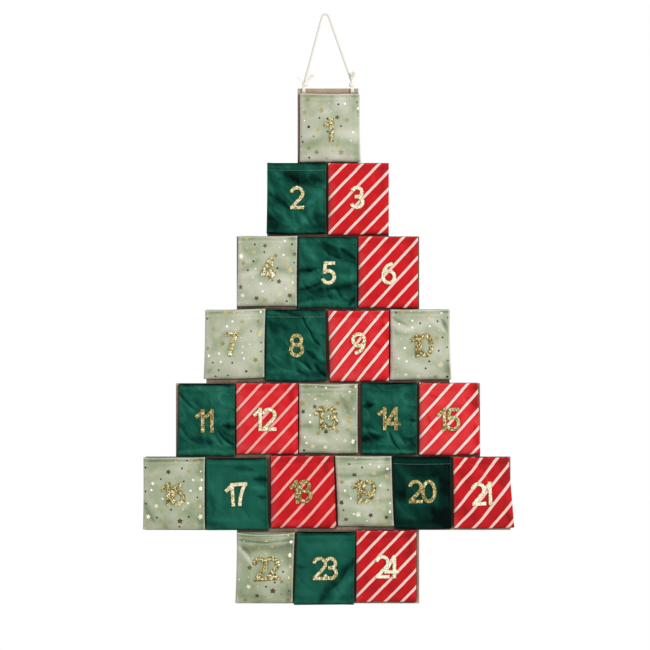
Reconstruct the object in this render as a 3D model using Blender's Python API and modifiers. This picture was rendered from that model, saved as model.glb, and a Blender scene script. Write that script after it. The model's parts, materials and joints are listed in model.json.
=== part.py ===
"""Hanging advent calendar: a stepped tree board on a cotton cord, with 24 open fabric pouches and their numbers.

Metres, +Z up. The front faces -Y, and +X is to the viewer's right. The origin is the hanging point, which is
the underside of the cord where it lies over a nail. The cord and the board's middle plane lie in Y = 0.
The board swings on the cord about the middle of its top strip, and each pouch lifts about its top back edge.
"""

import math
from dataclasses import dataclass

import bmesh
import bpy
from mathutils import Matrix, Vector

# Tree board, cut from thin sheet in one piece
POUCHES_IN_ROW = (1, 2, 3, 4, 5, 6, 3)
CELL_WIDTH = 0.0985
FIRST_ROW_HEIGHT = 0.1205
ROW_HEIGHT = 0.1189
BOARD_THICKNESS = 0.003
TOP_STRIP_HEIGHT = 0.0085
FIT_GAP = 0.0003

# Cord over the nail, and its turns through the two holes of the top strip
CORD_DIAMETER = 0.0027
HANG_HEIGHT = 0.119
HANG_OFFSET = 0.0042
NAIL_BEND_RADIUS = 0.0056
HOLE_SPACING = 0.0786
WEB_ABOVE_HOLE = 0.004
HOLE_SIDES = 16
CORD_POINT_STEP = 2.4 * CORD_DIAMETER
# How far inside its hole's middle each end of the cord stands on its knot
LEFT_FOOT_INWARD = 0.0012
RIGHT_FOOT_INWARD = 0.0008

# Knots and their frayed ends
KNOT_SIZE = Vector((0.0072, 0.0066, 0.0064))
TAIL_ROOT_RADIUS = 0.0013
TAIL_TIP_RADIUS = 0.0022
TAIL_LENGTH = 0.0145
LEFT_TAIL_LEAN = math.radians(52)
RIGHT_TAIL_LEAN = math.radians(9)

# Pouches, each one sewn bag that is open at the top, and what they leave free of their cells
GAP_BESIDE = 0.0015
GAP_BELOW = 0.0041
MOUTH_DROP = 0.0008
CLOTH_THICKNESS = 0.0012
SEAM_DEPTH = 0.003
MOUTH_DEPTH = 0.0085
UPPER_DEPTH = 0.012
BELLY_DEPTH = 0.016
LOWER_DEPTH = 0.013
FOOT_DEPTH = 0.007
# How far down the pouch each section lies, as a share of its length, and how deep its front stands there
FLAT_FROM = 0.30
FLAT_TO = 0.72
SECTIONS = (
    (0.0, MOUTH_DEPTH),
    (FLAT_FROM, UPPER_DEPTH),
    (FLAT_TO, BELLY_DEPTH),
    (0.88, LOWER_DEPTH),
    (0.96, FOOT_DEPTH),
    (1.0, SEAM_DEPTH),
)
# Where the front's lines run, as a share of its half width, and how much of the depth they have there
FRONT_LINES = ((-1.0, 0.0), (-0.94, 0.5), (-0.8, 0.85), (-0.55, 1.0), (0.55, 1.0), (0.8, 0.85), (0.94, 0.5), (1.0, 0.0))

# Numbers, cut from glitter sheet
DIGIT_HEIGHT = 0.0378
STROKE_WIDTH = 0.0058
PLATE_THICKNESS = 0.0014
CURVE_STEP = math.radians(18)

BOARD_COLOUR = (0.43, 0.26, 0.21)
CORD_COLOUR = (0.74, 0.69, 0.59)
GLITTER_COLOUR = (0.55, 0.36, 0.10)
CLOTH_COLOURS = {
    "sage_satin": (0.42, 0.48, 0.35),
    "green_velvet": (0.008, 0.095, 0.062),
    "striped_cotton": (0.62, 0.012, 0.022),
}
CLOTH_ORDER = ("sage_satin", "green_velvet", "striped_cotton")

# The table's units, so that the hangs follow the cells, and the numbers keep their digits together
HANG_UNIT = CELL_WIDTH / 100
DIGIT_UNIT = DIGIT_HEIGHT / 100
# Turns a drawing in X and Y to stand in X and Z, its face towards -Y
STAND_UP = Matrix(((1, 0, 0, 0), (0, 0, -1, 0), (0, 1, 0, 0), (0, 0, 0, 1)))


@dataclass
class Hang:
    """How one pouch and its number sit in their cell, in hundredths of the cell's width and in degrees.

    across and down move the mouth, lean moves the bottom sideways, wide and flare change the width of the
    mouth and of the bottom, longer changes the length, dip lowers the mouth's right corner (or its left
    one if it is below zero), and the number is placed from the middle of the mouth. number_span is how
    wide two digits are together, in hundredths of their height, and 0 where there is one digit.
    """

    across: float
    down: float
    lean: float
    wide: float
    flare: float
    longer: float
    dip: float
    number_across: float
    number_down: float
    number_span: float
    number_turn: float


HANGS = (
    Hang(2.8, 0.0, 0.8, 1.0, 1.6, 2.9, 0.0, -1.9, 59.9, 0.0, 0.0),
    Hang(-1.4, -0.4, -0.6, -0.6, 1.1, 0.8, 0.0, 0.6, 57.1, 0.0, 0.0),
    Hang(0.2, -0.2, 0.0, 1.8, 0.0, 1.6, 0.0, -2.5, 56.6, 0.0, 0.0),
    Hang(0.7, -1.1, -1.2, 0.0, 1.0, -0.9, 0.0, 1.5, 54.5, 0.0, 0.0),
    Hang(-0.2, 0.2, -0.8, -0.9, 0.0, 1.5, 0.0, 1.1, 59.5, 0.0, 0.0),
    Hang(-1.1, -0.3, 0.0, 0.2, 0.0, 1.5, 0.0, 0.8, 60.0, 0.0, 0.0),
    Hang(-2.4, -2.6, -2.1, 1.2, 1.0, -2.5, -3.0, -5.0, 58.6, 0.0, 0.0),
    Hang(-3.0, -1.0, 0.4, -1.4, 4.2, 1.5, 0.0, 1.5, 58.5, 0.0, 0.0),
    Hang(0.0, 0.6, 1.8, 2.8, -3.7, 0.2, 0.0, 0.4, 54.8, 0.0, 0.0),
    Hang(0.9, -1.5, 1.4, -0.6, 3.7, -0.4, 0.0, 2.3, 59.0, 101.6, 0.0),
    Hang(1.0, 0.5, -1.0, -5.4, 1.9, 2.6, 0.0, -4.0, 60.3, 82.1, 0.0),
    Hang(-0.2, -0.8, 0.3, 4.2, -0.6, 0.7, 0.0, -4.1, 58.9, 104.2, 0.0),
    Hang(0.6, 0.0, 0.0, -1.1, 0.0, -1.7, 0.0, -4.3, 55.8, 102.1, 0.0),
    Hang(0.5, -1.8, 0.0, -6.7, 0.0, 2.4, 0.0, -1.2, 58.9, 101.6, 0.0),
    Hang(-2.0, -1.5, 2.2, -1.6, 4.5, 2.5, 0.0, -0.6, 59.9, 102.4, 0.0),
    Hang(-2.8, 0.3, -0.4, 3.5, 0.8, 2.8, 0.0, -1.5, 59.6, 105.8, 0.0),
    Hang(-0.6, 1.8, 1.8, 2.1, 2.9, 2.2, 0.0, 0.2, 59.0, 100.6, 4.0),
    Hang(7.6, -2.1, 2.4, 5.6, 3.7, 2.5, 0.0, -2.8, 58.0, 100.6, 4.0),
    Hang(7.9, -1.8, 4.5, -5.1, -1.0, -0.6, 0.0, 1.1, 57.9, 103.7, 0.0),
    Hang(4.3, -1.0, 2.3, -2.4, -3.1, 3.1, 0.0, 0.4, 57.0, 121.7, 0.0),
    Hang(1.3, -0.2, 5.3, -6.7, 8.5, 1.0, 0.0, 0.6, 59.9, 89.9, 3.0),
    Hang(-2.2, 3.2, -3.1, -2.9, -0.5, 0.2, 0.0, 1.1, 58.6, 113.9, 4.0),
    Hang(-3.1, 2.1, -3.8, -1.7, 3.2, 4.0, 0.0, -1.8, 59.3, 110.0, 0.0),
    Hang(-4.2, 0.0, -0.1, 0.8, 0.2, 1.3, 0.0, 0.8, 58.6, 102.7, 0.0),
)

# Values that follow from the sizes above
BOARD_TOP = -HANG_HEIGHT
TREE_CENTRE = HANG_OFFSET
WEB_HALF = WEB_ABOVE_HOLE / 2
SWING_AXIS = Vector((TREE_CENTRE, 0.0, BOARD_TOP - WEB_HALF))
RING_INNER = math.hypot(WEB_HALF, BOARD_THICKNESS / 2) + FIT_GAP
RING_RADIUS = RING_INNER + CORD_DIAMETER / 2
RING_OUTER = RING_INNER + CORD_DIAMETER
HOLE_RADIUS = (RING_OUTER + FIT_GAP - WEB_HALF) / 2
HOLE_CENTRE = -WEB_HALF - HOLE_RADIUS
BOARD_FRONT = -BOARD_THICKNESS / 2
KNOT_CENTRE = RING_OUTER + FIT_GAP + KNOT_SIZE.z / 2
CORD_START = KNOT_CENTRE + KNOT_SIZE.z / 2 + FIT_GAP


def row_top(row):
    """Height of the board's step above a row of pouches, counted from zero."""
    return BOARD_TOP - (FIRST_ROW_HEIGHT + (row - 1) * ROW_HEIGHT if row else 0.0)


def empty_scene():
    for obj in list(bpy.data.objects):
        bpy.data.objects.remove(obj, do_unlink=True)


def new_collection(name):
    collection = bpy.data.collections.new(name)
    bpy.context.scene.collection.children.link(collection)
    return collection


def finish(name, colour, roughness, metallic=0.0):
    """A Principled material, made once for each finish."""
    material = bpy.data.materials.get(name)
    if material is None:
        material = bpy.data.materials.new(name)
        material.use_nodes = True
        shader = material.node_tree.nodes["Principled BSDF"]
        shader.inputs["Base Color"].default_value = (*colour, 1.0)
        shader.inputs["Roughness"].default_value = roughness
        shader.inputs["Metallic"].default_value = metallic
    return material


def place(name, data, collection, material, location=(0.0, 0.0, 0.0), parent=None):
    """Adds a named object with its material, at a location that is counted from its parent."""
    obj = bpy.data.objects.new(name, data)
    collection.objects.link(obj)
    obj.location = location
    obj.parent = parent
    if data is not None:
        data.materials.append(material)
    return obj


def mesh_from(obj):
    """Turns an object, with its modifiers, into a welded mesh in the object's own frame, and removes the object."""
    bpy.context.view_layer.update()
    evaluated = obj.evaluated_get(bpy.context.evaluated_depsgraph_get())
    mesh = bpy.data.meshes.new_from_object(evaluated)
    work = bmesh.new()
    work.from_mesh(mesh)
    bmesh.ops.remove_doubles(work, verts=work.verts, dist=1e-6)
    bmesh.ops.recalc_face_normals(work, faces=work.faces)
    work.to_mesh(mesh)
    work.free()
    bpy.data.objects.remove(obj, do_unlink=True)
    return mesh


def flat_plate(name, loops, thickness, collection):
    """A flat plate in the X-Z plane, centred on Y = 0, from outlines that may have holes."""
    outline = bpy.data.curves.new(name, "CURVE")
    outline.dimensions = "2D"
    outline.fill_mode = "BOTH"
    outline.extrude = thickness / 2
    for loop in loops:
        spline = outline.splines.new("POLY")
        spline.points.add(len(loop) - 1)
        for point, (across, up) in zip(spline.points, loop):
            point.co = (across, up, 0.0, 1.0)
        spline.use_cyclic_u = True
    plate = bpy.data.objects.new(name, outline)
    collection.objects.link(plate)
    mesh = mesh_from(plate)
    mesh.transform(STAND_UP)
    return mesh


def circle(centre, radius, sides):
    turns = [2 * math.pi * k / sides for k in range(sides)]
    return [(centre[0] + radius * math.cos(a), centre[1] + radius * math.sin(a)) for a in turns]


def board_outline():
    """The stepped tree, clockwise from the top left corner, around the board's own origin."""
    right = []
    for row, count in enumerate(POUCHES_IN_ROW):
        half = count * CELL_WIDTH / 2
        right.append((half, row_top(row) - SWING_AXIS.z))
        right.append((half, row_top(row + 1) - SWING_AXIS.z))
    left = [(-x, z) for x, z in reversed(right)]
    return right + left


def build_board(collection):
    holes = [circle((side * HOLE_SPACING / 2, HOLE_CENTRE), HOLE_RADIUS, HOLE_SIDES) for side in (-1, 1)]
    mesh = flat_plate("tree_board", [board_outline(), *holes], BOARD_THICKNESS, collection)
    return place("tree_board", mesh, collection, finish("sawn_board", BOARD_COLOUR, 0.75), SWING_AXIS)


class Pouch:
    """One bag in its own frame: the origin is the middle of its top back edge, where it lifts."""

    def __init__(self, number, row, column, hang):
        self.number = number
        self.hang = hang
        mouth_drop = TOP_STRIP_HEIGHT if row == 0 else MOUTH_DROP
        self.width = CELL_WIDTH - GAP_BESIDE + hang.wide * HANG_UNIT
        self.bottom_width = self.width + hang.flare * HANG_UNIT
        self.length = row_top(row) - row_top(row + 1) - mouth_drop - GAP_BELOW + hang.longer * HANG_UNIT
        self.dip = hang.dip * HANG_UNIT
        from_middle = column - (POUCHES_IN_ROW[row] - 1) / 2
        self.hinge = Vector((
            TREE_CENTRE + from_middle * CELL_WIDTH + hang.across * HANG_UNIT,
            BOARD_FRONT - FIT_GAP,
            row_top(row) - mouth_drop - hang.down * HANG_UNIT,
        ))

    def sink(self, across):
        """How far a dipping mouth lies below the hinge at this place across the pouch."""
        return abs(self.dip) / 2 + self.dip * across / self.width

    def section(self, share, depth):
        """One closed ring of points around the bag: along the front, then back along the board."""
        half = (self.width + (self.bottom_width - self.width) * share) / 2
        middle = self.hang.lean * HANG_UNIT * share
        ring = []
        for line, fullness in FRONT_LINES:
            across = middle + line * half
            forward = SEAM_DEPTH + (depth - SEAM_DEPTH) * fullness
            ring.append(Vector((across, -forward, -share * self.length - self.sink(across))))
        for across in (middle + half, middle - half):
            ring.append(Vector((across, 0.0, -share * self.length - self.sink(across))))
        return ring

    def mesh(self):
        """The bag's outside as an open surface; Solidify gives it the cloth's thickness."""
        work = bmesh.new()
        rings = [[work.verts.new(p) for p in self.section(*section)] for section in SECTIONS]
        for upper, lower in zip(rings, rings[1:]):
            for k in range(len(upper)):
                after = (k + 1) % len(upper)
                work.faces.new((upper[k], lower[k], lower[after], upper[after]))
        work.faces.new(rings[-1])
        bmesh.ops.recalc_face_normals(work, faces=work.faces)
        mesh = bpy.data.meshes.new(f"pouch_{self.number:02d}")
        work.to_mesh(mesh)
        work.free()
        return mesh

    def build(self, board, collection):
        cloth = CLOTH_ORDER[(self.number - 1) % len(CLOTH_ORDER)]
        material = finish(cloth, CLOTH_COLOURS[cloth], 0.85)
        name = f"pouch_{self.number:02d}"
        pouch = place(name, self.mesh(), collection, material, self.hinge - board.location, board)
        wall = pouch.modifiers.new("cloth", "SOLIDIFY")
        wall.thickness = CLOTH_THICKNESS
        wall.offset = -1.0
        wall.use_even_offset = True
        return pouch

    def onto_front(self):
        """The shear that lays a flat plate on the even middle of the front, just clear of it."""
        depths = dict(SECTIONS)
        slope = (depths[FLAT_TO] - depths[FLAT_FROM]) / ((FLAT_TO - FLAT_FROM) * self.length)
        at_mouth = depths[FLAT_FROM] - slope * (FLAT_FROM * self.length + abs(self.dip) / 2)
        shear = Matrix.Identity(4)
        shear[1][0] = slope * self.dip / self.width
        shear[1][2] = slope
        shear[1][3] = -at_mouth - FIT_GAP - PLATE_THICKNESS / 2
        return shear


def arc(centre, radii, start, end):
    """Points along an ellipse's arc, in degrees, in a digit's own units."""
    start, end = math.radians(start), math.radians(end)
    steps = max(2, math.ceil(abs(end - start) / CURVE_STEP))
    turns = [start + (end - start) * k / steps for k in range(steps + 1)]
    return [(centre[0] + radii[0] * math.cos(a), centre[1] + radii[1] * math.sin(a)) for a in turns]


def bend(start, pull, end, steps=6):
    """Points along a curve that leaves start towards pull and arrives at end."""
    points = []
    for k in range(steps + 1):
        t = k / steps
        points.append(tuple((1 - t) ** 2 * a + 2 * t * (1 - t) * b + t * t * c for a, b, c in zip(start, pull, end)))
    return points


# Middle lines of each digit's strokes. The unit is the height between the middles of its top and bottom
# strokes, and each stroke is its points and whether it closes on itself.
SIX_TAIL = bend((0.02, 0.36), (0.02, 0.86), (0.50, 0.97))
STROKES = {
    "0": ((arc((0.30, 0.5), (0.30, 0.5), 0, 360)[:-1], True),),
    "1": (([(0.33, -0.09), (0.33, 1.09)], False), ([(0.37, 0.99), (-0.02, 0.68)], False)),
    "2": (
        (arc((0.29, 0.70), (0.29, 0.30), 172, -28) + [(0.02, 0.0)], False),
        ([(-0.05, 0.0), (0.66, 0.0)], False),
    ),
    "3": (
        (arc((0.28, 0.76), (0.25, 0.24), 160, -95), False),
        (arc((0.28, 0.27), (0.29, 0.27), 95, -164), False),
        ([(0.16, 0.53), (0.34, 0.53)], False),
    ),
    "4": (
        ([(0.43, 1.0), (0.02, 0.30)], False),
        ([(-0.06, 0.25), (0.68, 0.25)], False),
        ([(0.45, -0.09), (0.45, 1.09)], False),
    ),
    "5": (
        ([(0.09, 1.0), (0.61, 1.0)], False),
        ([(0.13, 1.06), (0.07, 0.46)], False),
        (arc((0.27, 0.31), (0.30, 0.31), 138, -164), False),
    ),
    "6": ((arc((0.30, 0.30), (0.29, 0.30), 0, 360)[:-1], True), (SIX_TAIL, False)),
    "7": (([(-0.09, 1.0), (0.62, 1.0)], False), (bend((0.55, 1.05), (0.22, 0.55), (0.17, -0.09)), False)),
    "8": (
        (arc((0.29, 0.75), (0.245, 0.25), 0, 360)[:-1], True),
        (arc((0.29, 0.26), (0.29, 0.27), 0, 360)[:-1], True),
    ),
    "9": (
        (arc((0.29, 0.70), (0.29, 0.30), 0, 360)[:-1], True),
        ([(0.59 - x, 1.0 - z) for x, z in SIX_TAIL], False),
    ),
}


def stroke_edges(points, closed):
    """The two sides of a stroke, half a width off its middle line, with square ends."""
    count = len(points)
    left, right = [], []
    for k, (x, z) in enumerate(points):
        before = points[k - 1] if closed or k else points[k]
        after = points[(k + 1) % count] if closed or k < count - 1 else points[k]
        inward = Vector((x - before[0], z - before[1]))
        outward = Vector((after[0] - x, after[1] - z))
        if inward.length and outward.length:
            along = (inward.normalized() + outward.normalized()).normalized()
            reach = STROKE_WIDTH / 2 / max(along.dot(inward.normalized()), 0.5)
        else:
            along = (inward + outward).normalized()
            reach = STROKE_WIDTH / 2
        side = Vector((-along.y, along.x)) * reach
        left.append((x + side.x, z + side.y))
        right.append((x - side.x, z - side.y))
    return left, right


def digit_loops(digit, start):
    """The outlines of each stroke of a digit, and how wide it is, with its left edge at start."""
    unit = DIGIT_HEIGHT - STROKE_WIDTH
    strokes = []
    for points, closed in STROKES[digit]:
        scaled = [(x * unit, z * unit) for x, z in points]
        left, right = stroke_edges(scaled, closed)
        strokes.append([left, right] if closed else [left + right[::-1]])
    edges = [x for loops in strokes for loop in loops for x, _ in loop]
    shift = start - min(edges)
    moved = [[[(x + shift, z) for x, z in loop] for loop in loops] for loops in strokes]
    return moved, max(edges) - min(edges)


def build_number(pouch, owner, collection, cutters):
    """One number: its strokes are plates that a union makes into one piece, laid on the pouch's front."""
    hang = pouch.hang
    span = hang.number_span * DIGIT_UNIT
    digits = str(pouch.number)
    strokes, width = digit_loops(digits[0], 0.0)
    if len(digits) == 2:
        _, second_width = digit_loops(digits[1], 0.0)
        more, second_width = digit_loops(digits[1], span - second_width)
        strokes += more
        width = span
    name = f"number_{pouch.number:02d}"
    plates = [flat_plate(f"{name}_stroke", loops, PLATE_THICKNESS, cutters) for loops in strokes]
    material = finish("gold_glitter", GLITTER_COLOUR, 0.35, 0.9)
    joined = place(name, plates[0], cutters, material)
    others = [place(f"{name}_stroke_{k}", plate, cutters, material) for k, plate in enumerate(plates[1:])]
    for other in others:
        join = joined.modifiers.new(other.name, "BOOLEAN")
        join.operation = "UNION"
        join.object = other
    mesh = mesh_from(joined)
    for other in others:
        bpy.data.objects.remove(other, do_unlink=True)
    middle = Matrix.Translation((-width / 2, 0.0, STROKE_WIDTH / 2 - DIGIT_HEIGHT / 2))
    turn = Matrix.Rotation(math.radians(-hang.number_turn), 4, "Y")
    spot = Matrix.Translation((hang.number_across * HANG_UNIT, 0.0, -hang.number_down * HANG_UNIT))
    mesh.transform(pouch.onto_front() @ spot @ turn @ middle)
    return place(name, mesh, collection, material, parent=owner)


def smooth_route(points, step):
    """Points at even steps along one smooth curve through the given ones."""
    ends = [2 * points[0] - points[1], *points, 2 * points[-1] - points[-2]]
    fine = []
    for k in range(1, len(ends) - 2):
        a, b, c, d = ends[k - 1 : k + 3]
        for j in range(24):
            t = j / 24
            fine.append(0.5 * ((2 * b) + (c - a) * t + (2 * a - 5 * b + 4 * c - d) * t**2 + (3 * b - a - 3 * c + d) * t**3))
    fine.append(points[-1])
    lengths = [0.0]
    for p, q in zip(fine, fine[1:]):
        lengths.append(lengths[-1] + (q - p).length)
    count = max(2, round(lengths[-1] / step))
    route, k = [], 0
    for j in range(count + 1):
        target = lengths[-1] * j / count
        while k < len(fine) - 2 and lengths[k + 1] < target:
            k += 1
        share = (target - lengths[k]) / (lengths[k + 1] - lengths[k])
        route.append(fine[k].lerp(fine[k + 1], min(max(share, 0.0), 1.0)))
    return route


def cord_route():
    """From the left knot, taut up to the nail, round it, and down to the right knot."""
    left = SWING_AXIS + Vector((-HOLE_SPACING / 2 + LEFT_FOOT_INWARD, 0.0, CORD_START))
    right = SWING_AXIS + Vector((HOLE_SPACING / 2 - RIGHT_FOOT_INWARD, 0.0, CORD_START))
    over = NAIL_BEND_RADIUS
    top = Vector((0.0, 0.0, CORD_DIAMETER / 2))
    centre = top - Vector((0.0, 0.0, over))
    bend_points = [centre + over * Vector((math.sin(a), 0.0, math.cos(a))) for a in map(math.radians, range(-72, 73, 24))]
    points = [left, left.lerp(bend_points[0], 0.12), left.lerp(bend_points[0], 0.5)]
    points += bend_points
    points += [right.lerp(bend_points[-1], 0.5), right.lerp(bend_points[-1], 0.12), right]
    return smooth_route(points, CORD_POINT_STEP)


def build_cord(collection, material):
    route = cord_route()
    curve = bpy.data.curves.new("hanging_cord", "CURVE")
    curve.dimensions = "3D"
    curve.bevel_depth = CORD_DIAMETER / 2
    curve.bevel_resolution = 2
    curve.use_fill_caps = True
    spline = curve.splines.new("POLY")
    spline.points.add(len(route) - 1)
    for point, place_on_route in zip(spline.points, route):
        point.co = (*place_on_route, 1.0)
    return place("hanging_cord", curve, collection, material)


def build_ring(name, side, collection, material):
    """The cord's turn through its hole and round the top strip: a ring about the axis that the board swings on."""
    bpy.ops.mesh.primitive_torus_add(
        major_segments=20,
        minor_segments=8,
        major_radius=RING_RADIUS,
        minor_radius=CORD_DIAMETER / 2,
        location=SWING_AXIS + Vector((side * HOLE_SPACING / 2, 0.0, 0.0)),
        rotation=(0.0, math.radians(90), 0.0),
    )
    ring = bpy.context.object
    ring.name = name
    ring.data.name = name
    ring.data.materials.append(material)
    ring.data.shade_smooth()
    for owner in list(ring.users_collection):
        owner.objects.unlink(ring)
    collection.objects.link(ring)
    return ring


def build_knot(name, side, tail_lean, collection, cutters, material):
    """A knot with its frayed end: a round lump, joined to a tail that widens upwards in front of the cord."""
    centre = SWING_AXIS + Vector((side * HOLE_SPACING / 2, 0.0, KNOT_CENTRE))
    work = bmesh.new()
    bmesh.ops.create_uvsphere(work, u_segments=12, v_segments=8, radius=0.5)
    bmesh.ops.scale(work, vec=KNOT_SIZE, verts=work.verts)
    lump = bpy.data.meshes.new(name)
    work.to_mesh(lump)
    work.free()
    knot = place(name, lump, collection, material, centre)
    tail_work = bmesh.new()
    bmesh.ops.create_cone(
        tail_work,
        cap_ends=True,
        segments=8,
        radius1=TAIL_ROOT_RADIUS,
        radius2=TAIL_TIP_RADIUS,
        depth=TAIL_LENGTH,
        matrix=Matrix.Translation((0.0, 0.0, TAIL_LENGTH / 2)),
    )
    tail_mesh = bpy.data.meshes.new(f"{name}_tail")
    tail_work.to_mesh(tail_mesh)
    tail_work.free()
    root = centre + Vector((0.0, -KNOT_SIZE.y / 3, 0.0))
    tail = place(f"{name}_tail", tail_mesh, cutters, material, root)
    tail.rotation_euler = (math.radians(12), tail_lean, 0.0)
    tail.display_type = "WIRE"
    tail.hide_render = True
    join = knot.modifiers.new("tail", "BOOLEAN")
    join.operation = "UNION"
    join.object = tail
    return knot


def main():
    empty_scene()
    parts = new_collection("advent_calendar")
    cutters = new_collection("cutters")
    cutters.hide_render = True
    board = build_board(parts)
    hangs = iter(enumerate(HANGS, start=1))
    for row, count in enumerate(POUCHES_IN_ROW):
        for column in range(count):
            number, hang = next(hangs)
            pouch = Pouch(number, row, column, hang)
            bag = pouch.build(board, parts)
            build_number(pouch, bag, parts, cutters)
    cotton = finish("cotton_cord", CORD_COLOUR, 0.9)
    build_cord(parts, cotton)
    build_ring("cord_ring_left", -1, parts, cotton)
    build_ring("cord_ring_right", 1, parts, cotton)
    build_knot("knot_left", -1, LEFT_TAIL_LEAN, parts, cutters, cotton)
    build_knot("knot_right", 1, RIGHT_TAIL_LEAN, parts, cutters, cotton)


main()
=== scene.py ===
"""Looks of a hanging advent calendar: a stepped tree board, 24 sewn pouches, glitter numbers and a cotton cord.

Metres, +Z up, the front faces -Y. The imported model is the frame: the board and the numbers keep their
shapes and get their finishes, and the pouches and every turn of the cord are replaced by fuller forms.
"""

import json
import logging
import math
from dataclasses import dataclass, field
from enum import Enum

import bmesh
import bpy
import numpy as np
from bpy.types import Material, Mesh, Node, NodeSocket, NodeTree, Object
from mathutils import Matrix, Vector

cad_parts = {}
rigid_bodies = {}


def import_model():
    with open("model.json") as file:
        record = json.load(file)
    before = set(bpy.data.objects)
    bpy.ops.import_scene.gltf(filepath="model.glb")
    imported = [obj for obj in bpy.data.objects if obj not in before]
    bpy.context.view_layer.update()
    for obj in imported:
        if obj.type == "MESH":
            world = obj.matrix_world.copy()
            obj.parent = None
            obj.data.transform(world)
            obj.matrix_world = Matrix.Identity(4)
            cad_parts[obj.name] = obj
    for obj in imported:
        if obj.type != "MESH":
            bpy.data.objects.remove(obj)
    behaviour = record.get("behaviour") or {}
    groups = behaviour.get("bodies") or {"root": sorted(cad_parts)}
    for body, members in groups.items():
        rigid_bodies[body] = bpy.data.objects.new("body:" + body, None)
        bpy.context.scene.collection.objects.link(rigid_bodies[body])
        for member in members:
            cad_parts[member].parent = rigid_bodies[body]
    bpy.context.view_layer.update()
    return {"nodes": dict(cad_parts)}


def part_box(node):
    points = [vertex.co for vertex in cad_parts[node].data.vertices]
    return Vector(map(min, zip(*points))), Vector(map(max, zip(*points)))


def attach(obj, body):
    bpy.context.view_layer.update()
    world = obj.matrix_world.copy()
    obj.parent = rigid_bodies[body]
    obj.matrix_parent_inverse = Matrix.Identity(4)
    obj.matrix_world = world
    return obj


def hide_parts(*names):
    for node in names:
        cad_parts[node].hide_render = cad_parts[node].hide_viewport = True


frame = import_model()

LOG = logging.getLogger("advent_calendar")
MM = 0.001
TURN = 2 * math.pi
POUCHES = 24
# What a smooth step takes and gives
Places = float | np.ndarray


# ---- colours, nodes and smooth steps


def linear(code: str) -> tuple[float, float, float, float]:
    """Turns an sRGB hex colour to linear.

    Args:
        code: the colour as "#RRGGBB".

    Returns:
        Red, green, blue and alpha.
    """
    parts = [int(code[k : k + 2], 16) / 255 for k in (1, 3, 5)]
    red, green, blue = (c / 12.92 if c <= 0.04045 else ((c + 0.055) / 1.055) ** 2.4 for c in parts)
    return red, green, blue, 1.0


def feed(tree: NodeTree, node: Node, inputs: dict) -> None:
    """Sets a node's inputs.

    Args:
        tree: the tree that the node is in.
        node: the node.
        inputs: by socket name or number, the value, or the socket or node that feeds it. A node feeds it
            from its first output.
    """
    for key, value in inputs.items():
        source = value.outputs[0] if isinstance(value, Node) else value
        if isinstance(source, NodeSocket):
            tree.links.new(source, node.inputs[key])
        else:
            node.inputs[key].default_value = source


def add(tree: NodeTree, kind: str, inputs: dict | None = None, **settings: object) -> Node:
    """Adds a node with its settings and links.

    Args:
        tree: the tree that the node goes in.
        kind: the node's type name.
        inputs: what its inputs get; see feed.
        settings: the node's own properties; ramp is a list of (place, hex colour) for a colour ramp.

    Returns:
        The node.
    """
    node = tree.nodes.new(kind)
    stops = settings.pop("ramp", None)
    for key, value in settings.items():
        setattr(node, key, value)
    if stops:
        elements = node.color_ramp.elements
        while len(elements) < len(stops):
            elements.new(0.5)
        for element, (place, code) in zip(elements, stops):
            element.position = place
            element.color = linear(code)
    feed(tree, node, inputs or {})
    return node


def bump(place: Places, middle: Places, width: Places) -> Places:
    """Returns a smooth rise, 1 at its middle and fallen to 0.37 a width away from it."""
    return np.exp(-(((place - middle) / width) ** 2))


def fade(distance: np.ndarray, reach: float) -> np.ndarray:
    """Returns an even fall, from 1 at no distance to 0 at the reach and beyond."""
    return np.clip(1 - distance / reach, 0, 1)


# ---- finishes


@dataclass(frozen=True)
class Finish:
    """A finish, made into a material once."""

    name: str

    def material(self) -> Material:
        """Returns the material, which is made at the first call."""
        found = bpy.data.materials.get(self.name)
        if found is not None:
            return found
        made = bpy.data.materials.new(self.name)
        made.use_nodes = True
        self.dress(made.node_tree, made.node_tree.nodes["Principled BSDF"])
        return made

    def dress(self, tree: NodeTree, shader: Node) -> None:
        """Gives the material's Principled shader its colour, gloss and relief, by nodes in its tree."""
        raise NotImplementedError

    def relief(self, tree: NodeTree, shader: Node, height: object, depth: float) -> None:
        """Feeds a node's or socket's pattern of heights from 0 to 1, so deep in metres, to the shader's normal."""
        relief = add(tree, "ShaderNodeBump", {"Height": height, "Distance": depth, "Strength": 1.0})
        feed(tree, shader, {"Normal": relief})


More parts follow.
